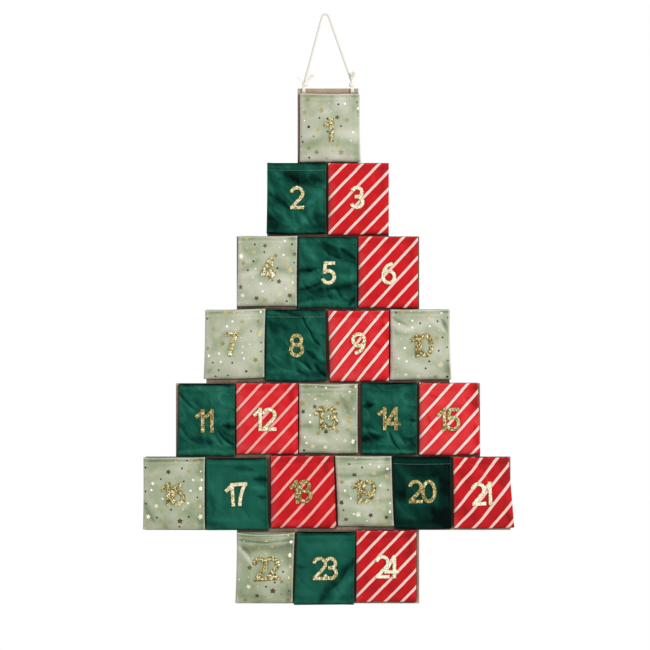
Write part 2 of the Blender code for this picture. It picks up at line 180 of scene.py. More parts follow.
@dataclass(frozen=True)
class SawnBoard(Finish):
    """Medium-density fibreboard, laser cut: a matt, faintly mottled face with scorched brown edges."""

    face: tuple = ((0.25, "#AD937E"), (0.5, "#BDA28B"), (0.75, "#CAB29B"))
    scorch: str = "#4A2A1D"
    # The colour of the painted shade in the gaps between the pouches
    gap_shade: str = "#371D15"
    stain: float = 1.6 * MM
    gap: float = 24 * MM
    strip_foot: tuple[float, float] = (-124 * MM, -130 * MM)

    def dress(self, tree: NodeTree, shader: Node) -> None:
        """Mottles the face with pressed fibre, browns it where the beam passed, and paints shade in the gaps.

        Args:
            tree: the material's node tree.
            shader: its Principled BSDF.
        """
        place = add(tree, "ShaderNodeTexCoord").outputs["Object"]
        # Fibre bundles are about 1.5 mm; they are drawn at 4 mm, over 30 mm clouds, so that they show
        fibre = add(tree, "ShaderNodeTexNoise", {"Vector": place, "Scale": 260.0, "Detail": 3.0, "Roughness": 0.6})
        cloud = add(tree, "ShaderNodeTexNoise", {"Vector": place, "Scale": 34.0, "Detail": 2.0})
        both = add(tree, "ShaderNodeMath", {0: fibre, 1: cloud})
        half = add(tree, "ShaderNodeMath", {0: both, 1: 0.5}, operation="MULTIPLY")
        face = add(tree, "ShaderNodeValToRGB", {0: half}, ramp=self.face)
        # The beam leaves the cut dark and stains about 1 mm of the face beside it
        rounded = add(tree, "ShaderNodeBevel", {"Radius": self.stain}, samples=6)
        flat = add(tree, "ShaderNodeNewGeometry").outputs["Normal"]
        turn = add(tree, "ShaderNodeVectorMath", {0: rounded, 1: flat}, operation="DOT_PRODUCT")
        near = add(tree, "ShaderNodeMapRange", {0: turn.outputs["Value"], 1: 0.999, 2: 0.80, 3: 0.0, 4: 0.5})
        axis = add(tree, "ShaderNodeSeparateXYZ", {0: flat})
        side = add(tree, "ShaderNodeMath", {0: axis.outputs["Y"]}, operation="ABSOLUTE")
        cut = add(tree, "ShaderNodeMath", {0: side, 1: 0.5}, operation="LESS_THAN")
        burnt = add(tree, "ShaderNodeMath", {0: near, 1: cut}, operation="MAXIMUM")
        # Painted shade: the board is darkened where the pouches close it in, in the narrow gaps between them; the
        # bare top strip, above them all, is left nearly unshaded
        open_sky = add(tree, "ShaderNodeAmbientOcclusion", {"Distance": self.gap}, samples=8).outputs["AO"]
        closed = add(tree, "ShaderNodeMapRange", {0: open_sky, 1: 0.6, 2: 0.81, 3: 0.92, 4: 0.0})
        level = add(tree, "ShaderNodeSeparateXYZ", {0: place}).outputs["Z"]
        unshaded_from, shaded_below = self.strip_foot
        below = add(tree, "ShaderNodeMapRange", {0: level, 1: unshaded_from, 2: shaded_below, 3: 0.15, 4: 1.0})
        gap_shading = add(tree, "ShaderNodeMath", {0: closed, 1: below}, operation="MULTIPLY")
        colour = face.outputs[0]
        for share, code in ((gap_shading, self.gap_shade), (burnt, self.scorch)):
            mixed = add(tree, "ShaderNodeMix", {0: share, 6: colour, 7: linear(code)}, data_type="RGBA")
            colour = mixed.outputs[2]
        feed(tree, shader, {"Base Color": colour, "Roughness": 0.78, "Specular IOR Level": 0.3})
        self.relief(tree, shader, fibre, 0.12 * MM)


@dataclass(frozen=True)
class CottonCord(Finish):
    """Unbleached cotton, spun and laid: cream, matt, with hairy yarns that wind along each strand."""

    pale: str = "#FFFAF0"
    shade: str = "#F0E6D6"
    yarn_turn: float = 3 * MM
    yarns: int = 4

    def dress(self, tree: NodeTree, shader: Node) -> None:
        """Streaks each strand with its yarns, which follow the strand's own turn.

        Args:
            tree: the material's node tree.
            shader: its Principled BSDF.
        """
        along = add(tree, "ShaderNodeAttribute", attribute_name="along").outputs["Fac"]
        around = add(tree, "ShaderNodeAttribute", attribute_name="around").outputs["Fac"]
        # A yarn is 0.35 mm across and turns once in 3 mm
        turns = add(tree, "ShaderNodeMath", {0: along, 1: 1 / self.yarn_turn, 2: around}, operation="MULTIPLY_ADD")
        angle = add(tree, "ShaderNodeMath", {0: turns, 1: self.yarns * TURN}, operation="MULTIPLY")
        wave = add(tree, "ShaderNodeMath", {0: angle}, operation="SINE")
        place = add(tree, "ShaderNodeTexCoord").outputs["Object"]
        fuzz = add(tree, "ShaderNodeTexNoise", {"Vector": place, "Scale": 900.0, "Detail": 2.0})
        level = add(tree, "ShaderNodeMapRange", {0: wave, 1: -1.0, 2: 1.0, 3: 0.15, 4: 0.75})
        height = add(tree, "ShaderNodeMath", {0: fuzz, 1: 0.5, 2: level}, operation="MULTIPLY_ADD")
        colour = add(tree, "ShaderNodeValToRGB", {0: height}, ramp=((0.2, self.shade), (0.9, self.pale)))
        feed(tree, shader, {"Base Color": colour, "Roughness": 0.92, "Specular IOR Level": 0.2})
        feed(tree, shader, {"Sheen Weight": 0.15})
        self.relief(tree, shader, height, 0.08 * MM)


@dataclass(frozen=True)
class SageSatin(Finish):
    """Polyester satin, woven with long floats: smooth and softly glossy, with painted shade in its folds and a
    painted highlight on each fold's crown.
    """

    colours: tuple = ((0.0, "#667055"), (0.28, "#96A181"), (0.5, "#B6BBA3"), (0.72, "#CAC9B9"), (1.0, "#DDD9CD"))
    slub: tuple[float, float] = (1.3 * MM, 9 * MM)

    def dress(self, tree: NodeTree, shader: Node) -> None:
        """Paints the folds' light and shade, from shade to crown, over a fine twill.

        Args:
            tree: the material's node tree.
            shader: its Principled BSDF.
        """
        cloth = add(tree, "ShaderNodeUVMap", uv_map="cloth").outputs["UV"]
        tone = add(tree, "ShaderNodeAttribute", attribute_name="tone").outputs["Fac"]
        clouds = {"Vector": cloth, "Scale": 24.0, "Detail": 2.0, "Roughness": 0.45, "Distortion": 0.35}
        cloud = add(tree, "ShaderNodeTexNoise", clouds)
        soft = add(tree, "ShaderNodeMath", {0: cloud, 1: 0.85, 2: 0.08}, operation="MULTIPLY_ADD")
        # Painted light and shade of the folds and edges
        level = add(tree, "ShaderNodeMath", {0: tone, 1: 0.42, 2: soft}, operation="MULTIPLY_ADD")
        # The threads are 0.2 mm, with slubs along both ways; they are drawn 1.3 mm wide so that they show
        slubs = []
        for size in (self.slub, self.slub[::-1]):
            stretch = add(tree, "ShaderNodeMapping", {"Vector": cloth, "Scale": (*size, 1.0)}, vector_type="TEXTURE")
            slubs.append(add(tree, "ShaderNodeTexNoise", {"Vector": stretch, "Scale": 1.0, "Detail": 2.0}))
        weave = add(tree, "ShaderNodeMath", {0: slubs[0], 1: slubs[1]})
        grain = add(tree, "ShaderNodeMath", {0: weave, 1: 0.2, 2: -0.2}, operation="MULTIPLY_ADD")
        total = add(tree, "ShaderNodeMath", {0: level, 1: grain})
        colour = add(tree, "ShaderNodeValToRGB", {0: total}, ramp=self.colours)
        feed(tree, shader, {"Base Color": colour, "Roughness": 0.45, "Specular IOR Level": 0.35})
        self.relief(tree, shader, weave, 0.05 * MM)


@dataclass(frozen=True)
class GreenVelvet(Finish):
    """Crushed polyester velvet, cut pile: nearly black where the pile faces away, bright where it leans."""

    colours: tuple = ((0.0, "#010E0A"), (0.25, "#063026"), (0.5, "#124E3F"), (0.75, "#236754"), (1.0, "#3A7D67"))
    tips: str = "#3FA184"
    patch: tuple[float, float] = (18 * MM, 36 * MM)
    stroke: tuple[float, float] = (3 * MM, 20 * MM)
    crush: float = 1.0

    def dress(self, tree: NodeTree, shader: Node) -> None:
        """Crushes the pile in patches a finger wide, breaks them with its tips, and paints the light and shade of
        its folds.

        Args:
            tree: the material's node tree.
            shader: its Principled BSDF.
        """
        cloth = add(tree, "ShaderNodeUVMap", uv_map="cloth").outputs["UV"]
        tone = add(tree, "ShaderNodeAttribute", attribute_name="tone").outputs["Fac"]
        # The crush lies in soft patches; handling combs the pile in strokes 3 mm wide, down to the right
        marks = []
        for size, lean, detail, bent in ((self.patch, 0.7, 4.0, 1.2), (self.stroke, 0.75, 2.0, 0.5)):
            laid = {"Vector": cloth, "Scale": (*size, 1.0), "Rotation": (0.0, 0.0, -lean)}
            drawn = {"Scale": 1.0, "Detail": detail, "Distortion": bent}
            drawn["Vector"] = add(tree, "ShaderNodeMapping", laid, vector_type="TEXTURE")
            marks.append(add(tree, "ShaderNodeTexNoise", drawn))
        crushed = {0: marks[0], 1: 1.05 * self.crush, 2: 0.505 - 0.525 * self.crush}
        soft = add(tree, "ShaderNodeMath", crushed, operation="MULTIPLY_ADD")
        combed = {0: marks[1], 1: 0.2 * self.crush, 2: -0.1 * self.crush}
        comb = add(tree, "ShaderNodeMath", combed, operation="MULTIPLY_ADD")
        both = add(tree, "ShaderNodeMath", {0: soft, 1: comb})
        # Painted light and shade of the folds and edges
        level = add(tree, "ShaderNodeMath", {0: tone, 1: 0.5, 2: both}, operation="MULTIPLY_ADD")
        # The pile's tufts are 0.4 mm; they are drawn at 1 mm so that they show
        pile = add(tree, "ShaderNodeTexNoise", {"Vector": cloth, "Scale": 1100.0, "Detail": 2.0})
        grain = add(tree, "ShaderNodeMath", {0: pile, 1: 0.22, 2: -0.11}, operation="MULTIPLY_ADD")
        total = add(tree, "ShaderNodeMath", {0: level, 1: grain})
        colour = add(tree, "ShaderNodeValToRGB", {0: total}, ramp=self.colours)
        feed(tree, shader, {"Base Color": colour, "Roughness": 0.95, "Specular IOR Level": 0.06})
        feed(tree, shader, {"Sheen Weight": 0.1, "Sheen Roughness": 0.35, "Sheen Tint": linear(self.tips)})
        self.relief(tree, shader, pile, 0.15 * MM)


@dataclass(frozen=True)
class StripedCotton(Finish):
    """Plain-woven cotton, screen printed: flat strong red with even bias stripes whose edges bleed a little."""

    stripe: str = "#FFC9BF"
    lit: str = "#FFDED6"
    stripe_shade: str = "#E9B6A9"
    stripe_dark: str = "#8A5C55"
    reds: tuple = ((0.0, "#450207"), (0.28, "#90060C"), (0.5, "#CF0E17"), (0.6, "#D72B30"), (0.85, "#EC4C4C"))
    deep: str = "#86050B"
    period: float = 19.6 * MM
    width: float = 4.3 * MM
    bleed: float = 0.35 * MM
    rim: tuple[float, float] = (0.45 * MM, 1.7 * MM)

    def dress(self, tree: NodeTree, shader: Node) -> None:
        """Prints the stripes across the cloth map's first axis, over the plain weave.

        Args:
            tree: the material's node tree.
            shader: its Principled BSDF.
        """
        cloth = add(tree, "ShaderNodeUVMap", uv_map="cloth").outputs["UV"]
        tone = add(tree, "ShaderNodeAttribute", attribute_name="tone").outputs["Fac"]
        wobble = add(tree, "ShaderNodeTexNoise", {"Vector": cloth, "Scale": 120.0, "Detail": 2.0})
        stray = add(tree, "ShaderNodeMath", {0: wobble, 1: 0.9 * MM, 2: -0.45 * MM}, operation="MULTIPLY_ADD")
        first = add(tree, "ShaderNodeSeparateXYZ", {0: cloth})
        across = add(tree, "ShaderNodeMath", {0: first, 1: stray})
        off = add(tree, "ShaderNodeMath", {0: across, 1: self.period / 2}, operation="PINGPONG")
        half = self.width / 2
        bleeding = {0: off, 1: half - self.bleed, 2: half + self.bleed, 3: 1.0, 4: 0.0}
        inside = add(tree, "ShaderNodeMapRange", bleeding, interpolation_type="SMOOTHSTEP")
        # The red lies thicker where it meets the bare stripe
        thicker = {0: off, 1: half + self.rim[0], 2: half + self.rim[1], 3: 1.0, 4: 0.0}
        rim = add(tree, "ShaderNodeMapRange", thicker, interpolation_type="SMOOTHSTEP")
        # Painted light and shade of the folds and edges sets how light the red and the stripes are
        shade = add(tree, "ShaderNodeMapRange", {0: tone, 1: -1.0, 2: 1.0, 3: 0.0, 4: 1.0})
        # Painted light and shade of soft waves in the cloth, 30 mm wide, under the dye's own fine unevenness
        cloud = add(tree, "ShaderNodeTexNoise", {"Vector": cloth, "Scale": 30.0, "Detail": 1.0, "Distortion": 0.5})
        soft = add(tree, "ShaderNodeMath", {0: cloud, 1: 0.34, 2: -0.17}, operation="MULTIPLY_ADD")
        uneven = add(tree, "ShaderNodeMath", {0: wobble, 1: 0.14, 2: -0.07}, operation="MULTIPLY_ADD")
        lively = add(tree, "ShaderNodeMath", {0: soft, 1: uneven})
        level = add(tree, "ShaderNodeMath", {0: shade, 1: lively})
        red = add(tree, "ShaderNodeValToRGB", {0: level}, ramp=self.reds)
        thick = add(tree, "ShaderNodeMath", {0: rim, 1: 0.9}, operation="MULTIPLY")
        ground = add(tree, "ShaderNodeMix", {0: thick, 6: red, 7: linear(self.deep)}, data_type="RGBA")
        pales = ((0.0, self.stripe_dark), (0.25, self.stripe_shade), (0.42, self.stripe), (0.85, self.lit))
        pale = add(tree, "ShaderNodeValToRGB", {0: level}, ramp=pales)
        printed = add(tree, "ShaderNodeMix", {0: inside, 6: ground.outputs[2], 7: pale}, data_type="RGBA")
        feed(tree, shader, {"Base Color": printed.outputs[2], "Roughness": 0.82, "Specular IOR Level": 0.25})
        # Threads lie 0.4 mm apart; they are drawn at 0.9 mm so that the weave shows in a close view
        threads = [
            add(tree, "ShaderNodeTexWave", {"Vector": cloth, "Scale": 175.0}, bands_direction=axis).outputs["Fac"]
            for axis in ("X", "Y")
        ]
        weave = add(tree, "ShaderNodeMath", {0: threads[0], 1: threads[1]}, operation="MULTIPLY")
        self.relief(tree, shader, weave, 0.05 * MM)


@dataclass(frozen=True)
class HotFoil(Finish):
    """Metal foil, hot-stamped on the satin: thin and bright, each mark's colour from gold to bronze painted by how
    it took the light: painted reflection.
    """

    dark: tuple = ((0.0, "#241D10"), (0.2, "#594A22"), (0.45, "#93864F"))
    light: tuple = ((0.65, "#BCB17E"), (0.85, "#ECE8C8"), (1.0, "#F8F7EA"))

    def dress(self, tree: NodeTree, shader: Node) -> None:
        """Colours each mark by its own shade, a painted reflection, with pinholes where the foil missed a thread.

        Args:
            tree: the material's node tree.
            shader: its Principled BSDF.
        """
        shade = add(tree, "ShaderNodeAttribute", attribute_name="shade").outputs["Fac"]
        place = add(tree, "ShaderNodeTexCoord").outputs["Object"]
        miss = add(tree, "ShaderNodeTexNoise", {"Vector": place, "Scale": 1400.0, "Detail": 1.0})
        level = add(tree, "ShaderNodeMath", {0: miss, 1: 0.16, 2: -0.08}, operation="MULTIPLY_ADD")
        total = add(tree, "ShaderNodeMath", {0: shade, 1: level})
        colour = add(tree, "ShaderNodeValToRGB", {0: total}, ramp=(*self.dark, *self.light))
        feed(tree, shader, {"Base Color": colour, "Metallic": 0.35, "Roughness": 0.34})


@dataclass(frozen=True)
class GlitterFlake(Finish):
    """Cut metallised film, glued at all angles: each flake is one flat glint, its colour from brown to nearly white
    a painted glint over its real tilt and gloss.
    """

    colours: tuple = ((0.0, "#4F4016"), (0.25, "#8E7B35"), (0.5, "#C9BA6A"), (0.72, "#EFE7B1"), (1.0, "#FFFFF2"))

    def dress(self, tree: NodeTree, shader: Node) -> None:
        """Colours each flake by its own painted glint.

        Args:
            tree: the material's node tree.
            shader: its Principled BSDF.
        """
        glint = add(tree, "ShaderNodeAttribute", attribute_name="glint").outputs["Fac"]
        colour = add(tree, "ShaderNodeValToRGB", {0: glint}, ramp=self.colours)
        feed(tree, shader, {"Base Color": colour, "Metallic": 0.25, "Roughness": 0.35})


@dataclass(frozen=True)
class GlitterSheet(Finish):
    """Foam sheet under the flakes, coated with gold glitter glue: rough and dark gold, seen along its cut edges,
    where it stands partly for painted shade.
    """

    grit: tuple = ((0.1, "#3B2D0D"), (0.5, "#776528"), (0.85, "#B8A557"))

    def dress(self, tree: NodeTree, shader: Node) -> None:
        """Gives the ground under the flakes its own finer grains.

        Args:
            tree: the material's node tree.
            shader: its Principled BSDF.
        """
        place = add(tree, "ShaderNodeTexCoord").outputs["Object"]
        # The grit is 0.2 mm; it is drawn at 0.9 mm so that it shows
        grains = add(tree, "ShaderNodeTexVoronoi", {"Vector": place, "Scale": 1100.0})
        grey = add(tree, "ShaderNodeSeparateColor", {0: grains.outputs["Color"]})
        colour = add(tree, "ShaderNodeValToRGB", {0: grey}, ramp=self.grit)
        feed(tree, shader, {"Base Color": colour, "Metallic": 0.35, "Roughness": 0.5})
        self.relief(tree, shader, grains.outputs["Distance"], 0.2 * MM)


@dataclass(frozen=True)
class SewingThread(Finish):
    """Spun polyester thread: matt, with a slight twist along each stitch."""

    colour: str = "#E9E4D8"
    shade: float = 0.6

    def dress(self, tree: NodeTree, shader: Node) -> None:
        """Shades the ply of the thread.

        Args:
            tree: the material's node tree.
            shader: its Principled BSDF.
        """
        place = add(tree, "ShaderNodeTexCoord").outputs["Object"]
        ply = add(tree, "ShaderNodeTexNoise", {"Vector": place, "Scale": 1600.0, "Detail": 1.0})
        light = linear(self.colour)
        dark = (*(c * self.shade for c in light[:3]), 1.0)
        colour = add(tree, "ShaderNodeMix", {0: ply, 6: dark, 7: light}, data_type="RGBA").outputs[2]
        feed(tree, shader, {"Base Color": colour, "Roughness": 0.85})


class Cloth(Enum):
    """The three cloths, in the order in which the pouches take them."""

    SAGE_SATIN = "sage_satin"
    GREEN_VELVET = "green_velvet"
    STRIPED_COTTON = "striped_cotton"


def cloth_of(number: int) -> Cloth:
    """Returns a pouch's cloth: the three take turns."""
    return list(Cloth)[(number - 1) % len(Cloth)]


FINISHES = {
    Cloth.SAGE_SATIN: SageSatin("woven_sage_satin"),
    Cloth.GREEN_VELVET: GreenVelvet("crushed_green_velvet"),
    Cloth.STRIPED_COTTON: StripedCotton("printed_striped_cotton"),
}
PINK_STRIPED = StripedCotton("printed_pink_striped_cotton", stripe="#F89F98", lit="#FCB3AB")
SMOOTH_VELVET = GreenVelvet("brushed_green_velvet", crush=0.35)
COTTON = CottonCord("laid_cotton")
# A greyer copy of the cotton, for the legs over the nail: painted shade
SHADED_COTTON = CottonCord("laid_cotton_worn", pale="#ECE9DA", shade="#DDDAC9")
FOIL = HotFoil("hot_foil")
FLAKES = GlitterFlake("glitter_flake")
GOLD_SHEET = GlitterSheet("glitter_sheet")
PALE_SHEET = GlitterSheet("pale_glitter_sheet", ((0.1, "#6A5826"), (0.5, "#AE9A5C"), (0.85, "#E8DDAE")))
THREADS = {
    Cloth.SAGE_SATIN: SewingThread("thread_sage", "#C6CBB6"),
    Cloth.GREEN_VELVET: SewingThread("thread_green", "#2F7560"),
    Cloth.STRIPED_COTTON: SewingThread("thread_red", "#C4353A"),
}
PALE_THREAD = SewingThread("thread_pale_green", "#9DBBA6")


# ---- mesh and tree helpers


def settle(name: str, mesh: Mesh, body: str, finish: Finish | None = None, slot: str | None = None) -> Object:
    """Makes a finished mesh an object at the origin that rides on a body.

    Args:
        name: the piece's name.
        mesh: its mesh, with its place in it.
        body: the CAD body that it moves with.
        finish: its finish, if the mesh has no material yet.
        slot: not used.

    Returns:
        The object.
    """
    piece = bpy.data.objects.new(name, mesh)
    mesh.name = name
    bpy.context.scene.collection.objects.link(piece)
    if finish is not None:
        mesh.materials.clear()
        mesh.materials.append(finish.material())
    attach(piece, body)
    return piece


def set_values(mesh: Mesh, name: str, values: list[float] | np.ndarray) -> None:
    """Gives a mesh a named attribute, with a number for each of its points in order."""
    mesh.attributes.new(name, "FLOAT", "POINT").data.foreach_set("value", np.asarray(values, np.float32).ravel())


def line_mesh(name: str, lines: list[list[Vector]], thickness: list[float] | None = None) -> Mesh:
    """Makes open lines of edges, for a tree to work on.

    Args:
        name: the mesh's name.
        lines: the points of each line.
        thickness: how thick the cord is at each point of a line, as a share; 1 where it isn't given.

    Returns:
        The mesh.
    """
    points, edges = [], []
    for line in lines:
        first = len(points)
        points += [tuple(p) for p in line]
        edges += [(first + k, first + k + 1) for k in range(len(line) - 1)]
    mesh = bpy.data.meshes.new(name)
    mesh.from_pydata(points, edges, [])
    set_values(mesh, "thickness", thickness * len(lines) if thickness else [1.0] * len(points))
    return mesh


@dataclass
class Tree:
    """A Geometry Nodes tree with named inputs, which turns a mesh into another plain mesh."""

    name: str
    sizes: dict[str, float] = field(default_factory=dict)
    objects: tuple[str, ...] = ()
    nodes: NodeTree = field(init=False)
    source: Node = field(init=False)

    def __post_init__(self) -> None:
        """Makes the empty tree with its sockets."""
        self.nodes = bpy.data.node_groups.new(self.name, "GeometryNodeTree")
        sockets = self.nodes.interface
        sockets.new_socket("Geometry", in_out="OUTPUT", socket_type="NodeSocketGeometry")
        sockets.new_socket("Geometry", in_out="INPUT", socket_type="NodeSocketGeometry")
        for key, value in self.sizes.items():
            kind = "NodeSocketInt" if isinstance(value, int) else "NodeSocketFloat"
            sockets.new_socket(key, in_out="INPUT", socket_type=kind).default_value = value
        for key in self.objects:
            sockets.new_socket(key, in_out="INPUT", socket_type="NodeSocketObject")
        sockets.new_socket("Material", in_out="INPUT", socket_type="NodeSocketMaterial")
        self.source = self.nodes.nodes.new("NodeGroupInput")

    def size(self, key: str) -> NodeSocket:
        """Returns the socket of one of the tree's inputs."""
        return self.source.outputs[key]

    def add(self, kind: str, inputs: dict | None = None, **settings: object) -> Node:
        """Adds a node to this tree; see add."""
        return add(self.nodes, kind, inputs, **settings)

    def even_line(self, step: str) -> Node:
        """Turns the incoming lines to curves with points at even steps, as long as the named input says."""
        line = self.add("GeometryNodeMeshToCurve", {"Mesh": self.size("Geometry")})
        return self.add("GeometryNodeResampleCurve", {"Curve": line, "Length": self.size(step)}, mode="LENGTH")

    def close(self, geometry: object, smooth: bool = True) -> None:
        """Ends the tree: real geometry, shaded, with its material.

        Args:
            geometry: the node that gives what the tree made.
            smooth: whether it is shaded smooth.
        """
        real = self.add("GeometryNodeRealizeInstances", {"Geometry": geometry})
        shaded = self.add("GeometryNodeSetShadeSmooth", {"Geometry": real, "Shade Smooth": smooth})
        dressed = self.add("GeometryNodeSetMaterial", {"Geometry": shaded, "Material": self.size("Material")})
        self.add("NodeGroupOutput", {0: dressed})

    def grow(self, name: str, mesh: Mesh, finish: Finish, values: dict | None = None) -> Mesh:
        """Runs the tree on a mesh.

        Args:
            name: the new mesh's name.
            mesh: what the tree works on.
            finish: the finish of what it makes.
            values: inputs that differ from the tree's defaults.

        Returns:
            The plain mesh that it makes.
        """
        holder = bpy.data.objects.new(f"{name}_source", mesh)
        bpy.context.scene.collection.objects.link(holder)
        modifier = holder.modifiers.new(self.name, "NODES")
        modifier.node_group = self.nodes
        given = {"Material": finish.material(), **(values or {})}
        for item in self.nodes.interface.items_tree:
            if item.item_type == "SOCKET" and item.in_out == "INPUT" and item.name in given:
                modifier[item.identifier] = given[item.name]
        bpy.context.view_layer.update()
        evaluated = holder.evaluated_get(bpy.context.evaluated_depsgraph_get())
        made = bpy.data.meshes.new_from_object(evaluated)
        bpy.data.objects.remove(holder, do_unlink=True)
        made.name = name
        return made


# ---- cord


@dataclass
class Rope:
    """A three-strand cord, laid along a line: each strand winds round the line once in a lay length.

    A strand's radius, and how far its middle lies from the cord's, are shares of the diameter.
    """

    diameter: float = 2.7 * MM
    lay_length: float = 8.5 * MM
    strands: int = 3
    strand_radius: float = 0.34
    strand_offset: float = 0.16
    step: float = 0.8 * MM
    tree: Tree = field(init=False)

    def __post_init__(self) -> None:
        """Builds the tree that lays the strands."""
        radius, apart = self.strand_radius * self.diameter, self.strand_offset * self.diameter
        sizes = {"Strand Radius": radius, "Strand Offset": apart, "Lay": self.lay_length, "Step": self.step}
        self.tree = t = Tree("laid_strands", sizes)
        even = t.even_line("Step")
        run = t.add("GeometryNodeSplineParameter").outputs["Length"]
        tangent = t.add("GeometryNodeInputTangent")
        normal = t.add("GeometryNodeInputNormal")
        beside = t.add("ShaderNodeVectorMath", {0: tangent, 1: normal}, operation="CROSS_PRODUCT")
        turns = t.add("ShaderNodeMath", {0: run, 1: t.size("Lay")}, operation="DIVIDE")
        reader = t.add("GeometryNodeInputNamedAttribute", {"Name": "thickness"})
        thickness = reader.outputs["Attribute"]
        offset = t.add("ShaderNodeMath", {0: t.size("Strand Offset"), 1: thickness}, operation="MULTIPLY")
        rounds = t.add("GeometryNodeCurvePrimitiveCircle", {"Resolution": 8, "Radius": t.size("Strand Radius")})
        index = t.add("GeometryNodeSplineParameter")
        kept = {"Geometry": rounds, "Name": "around", "Value": index.outputs["Factor"]}
        profile = t.add("GeometryNodeStoreNamedAttribute", kept)
        join = t.add("GeometryNodeJoinGeometry")
        for strand in range(self.strands):
            phase = t.add("ShaderNodeMath", {0: turns, 1: strand / self.strands})
            angle = t.add("ShaderNodeMath", {0: phase, 1: TURN}, operation="MULTIPLY")
            reach = []
            for wave, direction in (("COSINE", normal), ("SINE", beside)):
                share = t.add("ShaderNodeMath", {0: angle}, operation=wave)
                part = t.add("ShaderNodeMath", {0: share, 1: offset}, operation="MULTIPLY")
                reach.append(t.add("ShaderNodeVectorMath", {0: direction, "Scale": part}, operation="SCALE"))
            away = t.add("ShaderNodeVectorMath", {0: reach[0], 1: reach[1]})
            moved = t.add("GeometryNodeSetPosition", {"Geometry": even, "Offset": away})
            kept = {"Geometry": moved, "Name": "along", "Value": run}
            marked = t.add("GeometryNodeStoreNamedAttribute", kept)
            swept = {"Curve": marked, "Profile Curve": profile, "Fill Caps": True, "Scale": thickness}
            feed(t.nodes, join, {0: t.add("GeometryNodeCurveToMesh", swept)})
        t.close(join)

    def lay(
        self, name: str, lines: list[list[Vector]], finish: CottonCord = COTTON, thickness: list[float] | None = None
    ) -> Mesh:
        """Lays the cord along lines of points, with its thickness at each as a share of its diameter."""
        return self.tree.grow(name, line_mesh(f"{name}_line", lines, thickness), finish)


@dataclass(frozen=True)
class Tuft:
    """A tuft of frayed fibres, in millimetres: the middle of its tips from its root, and how wide they stand.

    The split says how far the tips part to two sides, as a share of how wide they stand.
    """

    name: str
    tip: tuple[float, float, float]
    spread: float
    fibres: int
    seed: int
    split: float = 0.0


@dataclass
class Fray:
    """Loose cotton fibres, each a thin bent thread."""

    radius: float = 0.32 * MM
    tip_share: float = 0.45
    step: float = 1.0 * MM
    root_spread: float = 0.9
    curls: tuple[float, float] = (0.5, 0.4)
    lengths: tuple[float, float] = (0.72, 1.06)
    waves: float = 1.1
    points: int = 7
    tree: Tree = field(init=False)

    def __post_init__(self) -> None:
        """Builds the tree that gives each fibre its thickness, thinner towards the tip."""
        self.tree = t = Tree("frayed_fibres", {"Radius": self.radius, "Step": self.step})
        even = t.even_line("Step")
        run = t.add("GeometryNodeSplineParameter").outputs["Factor"]
        taper = t.add("ShaderNodeMapRange", {0: run, 1: 0.0, 2: 1.0, 3: 1.0, 4: self.tip_share})
        thin = t.add("GeometryNodeSetCurveRadius", {"Curve": even, "Radius": taper})
        rounds = t.add("GeometryNodeCurvePrimitiveCircle", {"Resolution": 5, "Radius": t.size("Radius")})
        swept = {"Curve": thin, "Profile Curve": rounds, "Fill Caps": True, "Scale": taper}
        t.close(t.add("GeometryNodeCurveToMesh", swept))

    def open(self, root: Vector, tuft: Tuft) -> Mesh:
        """Opens a tuft from its root.

        Args:
            root: where the fibres leave the knot.
            tuft: how they stand.

        Returns:
            The mesh of the fibres.
        """
        rng = np.random.default_rng(tuft.seed)
        spread, split = tuft.spread * MM, tuft.split
        tip = root + Vector(tuft.tip) * MM
        along = (tip - root).normalized()
        side = along.cross(Vector((0.0, 1.0, 0.0))).normalized()
        deep = along.cross(side).normalized()
        lines = []
        for k in range(tuft.fibres):
            angle, reach = rng.uniform(0, TURN), math.sqrt(rng.uniform(0, 1))
            lean = split * spread / 2 * (1 if k % 2 else -1)
            across = math.cos(angle) * reach * spread / 2 * (1 - 0.5 * split) + lean
            out = side * across + deep * (math.sin(angle) * reach * spread / 3)
            length = rng.uniform(*self.lengths)
            curl = side * rng.normal(0, self.curls[0]) * MM + deep * rng.normal(0, self.curls[1]) * MM
            start = side * math.cos(angle) * reach * self.root_spread * MM
            start += deep * math.sin(angle) * reach * self.root_spread * MM
            line = []
            for s in (j / (self.points - 1) for j in range(self.points)):
                wave = curl * math.sin(TURN * self.waves * s + angle)
                line.append(root + start * (1 - s) + (tip - root) * s * length + out * s**1.4 + wave * s)
            lines.append(line)
        return self.tree.grow(tuft.name, line_mesh(f"{tuft.name}_line", lines), COTTON)


class Side(Enum):
    """The side that a hole, a turn or a knot is on, with its direction across."""

    LEFT = -1
    RIGHT = 1


# Where each turn of the cord differs from its usual thickness, and from its usual distance to the other turn
# (in millimetres): how much, the middle of the place in degrees round the turn, and how wide the place is
TURN_SWELLS = ((-0.12, 198, 18), (0.14, 238, 14), (-0.37, 285, 20))
TURN_GAPS = ((-0.3, 198, 16), (0.5, 238, 15), (-0.35, 280, 22))
# Each knot's loose ends: where its opened strands end from its front, in millimetres, how thick they are, and
# its tufts
LOOSE_ENDS = {
    Side.LEFT: (
        ((10.4, -1.2, 11.8),),
        1.0,
        (
            Tuft("frayed_end_left", (12.5, -1.8, 14.0), 5.4, 110, 11),
            Tuft("tuft_left", (1.6, -2.6, 16.0), 2.6, 30, 14),
            Tuft("loose_strand_left", (-12.5, -1.5, 10.5), 1.2, 9, 12),
        ),
    ),
    Side.RIGHT: (
        ((-0.8, -1.2, 12.0), (3.0, -1.2, 15.0)),
        0.9,
        (Tuft("frayed_end_right", (1.6, -2.0, 19.0), 7.0, 120, 13, 0.5),),
    ),
}
# How thick a strand is along its opened end, as a share of the cord
OPENED = (0.7, 0.8, 0.9, 1.0, 1.1, 1.1)
# How far each knot's middle lies beside its hole, in metres
KNOT_SHIFTS = {Side.LEFT: 1.9 * MM, Side.RIGHT: -0.6 * MM}


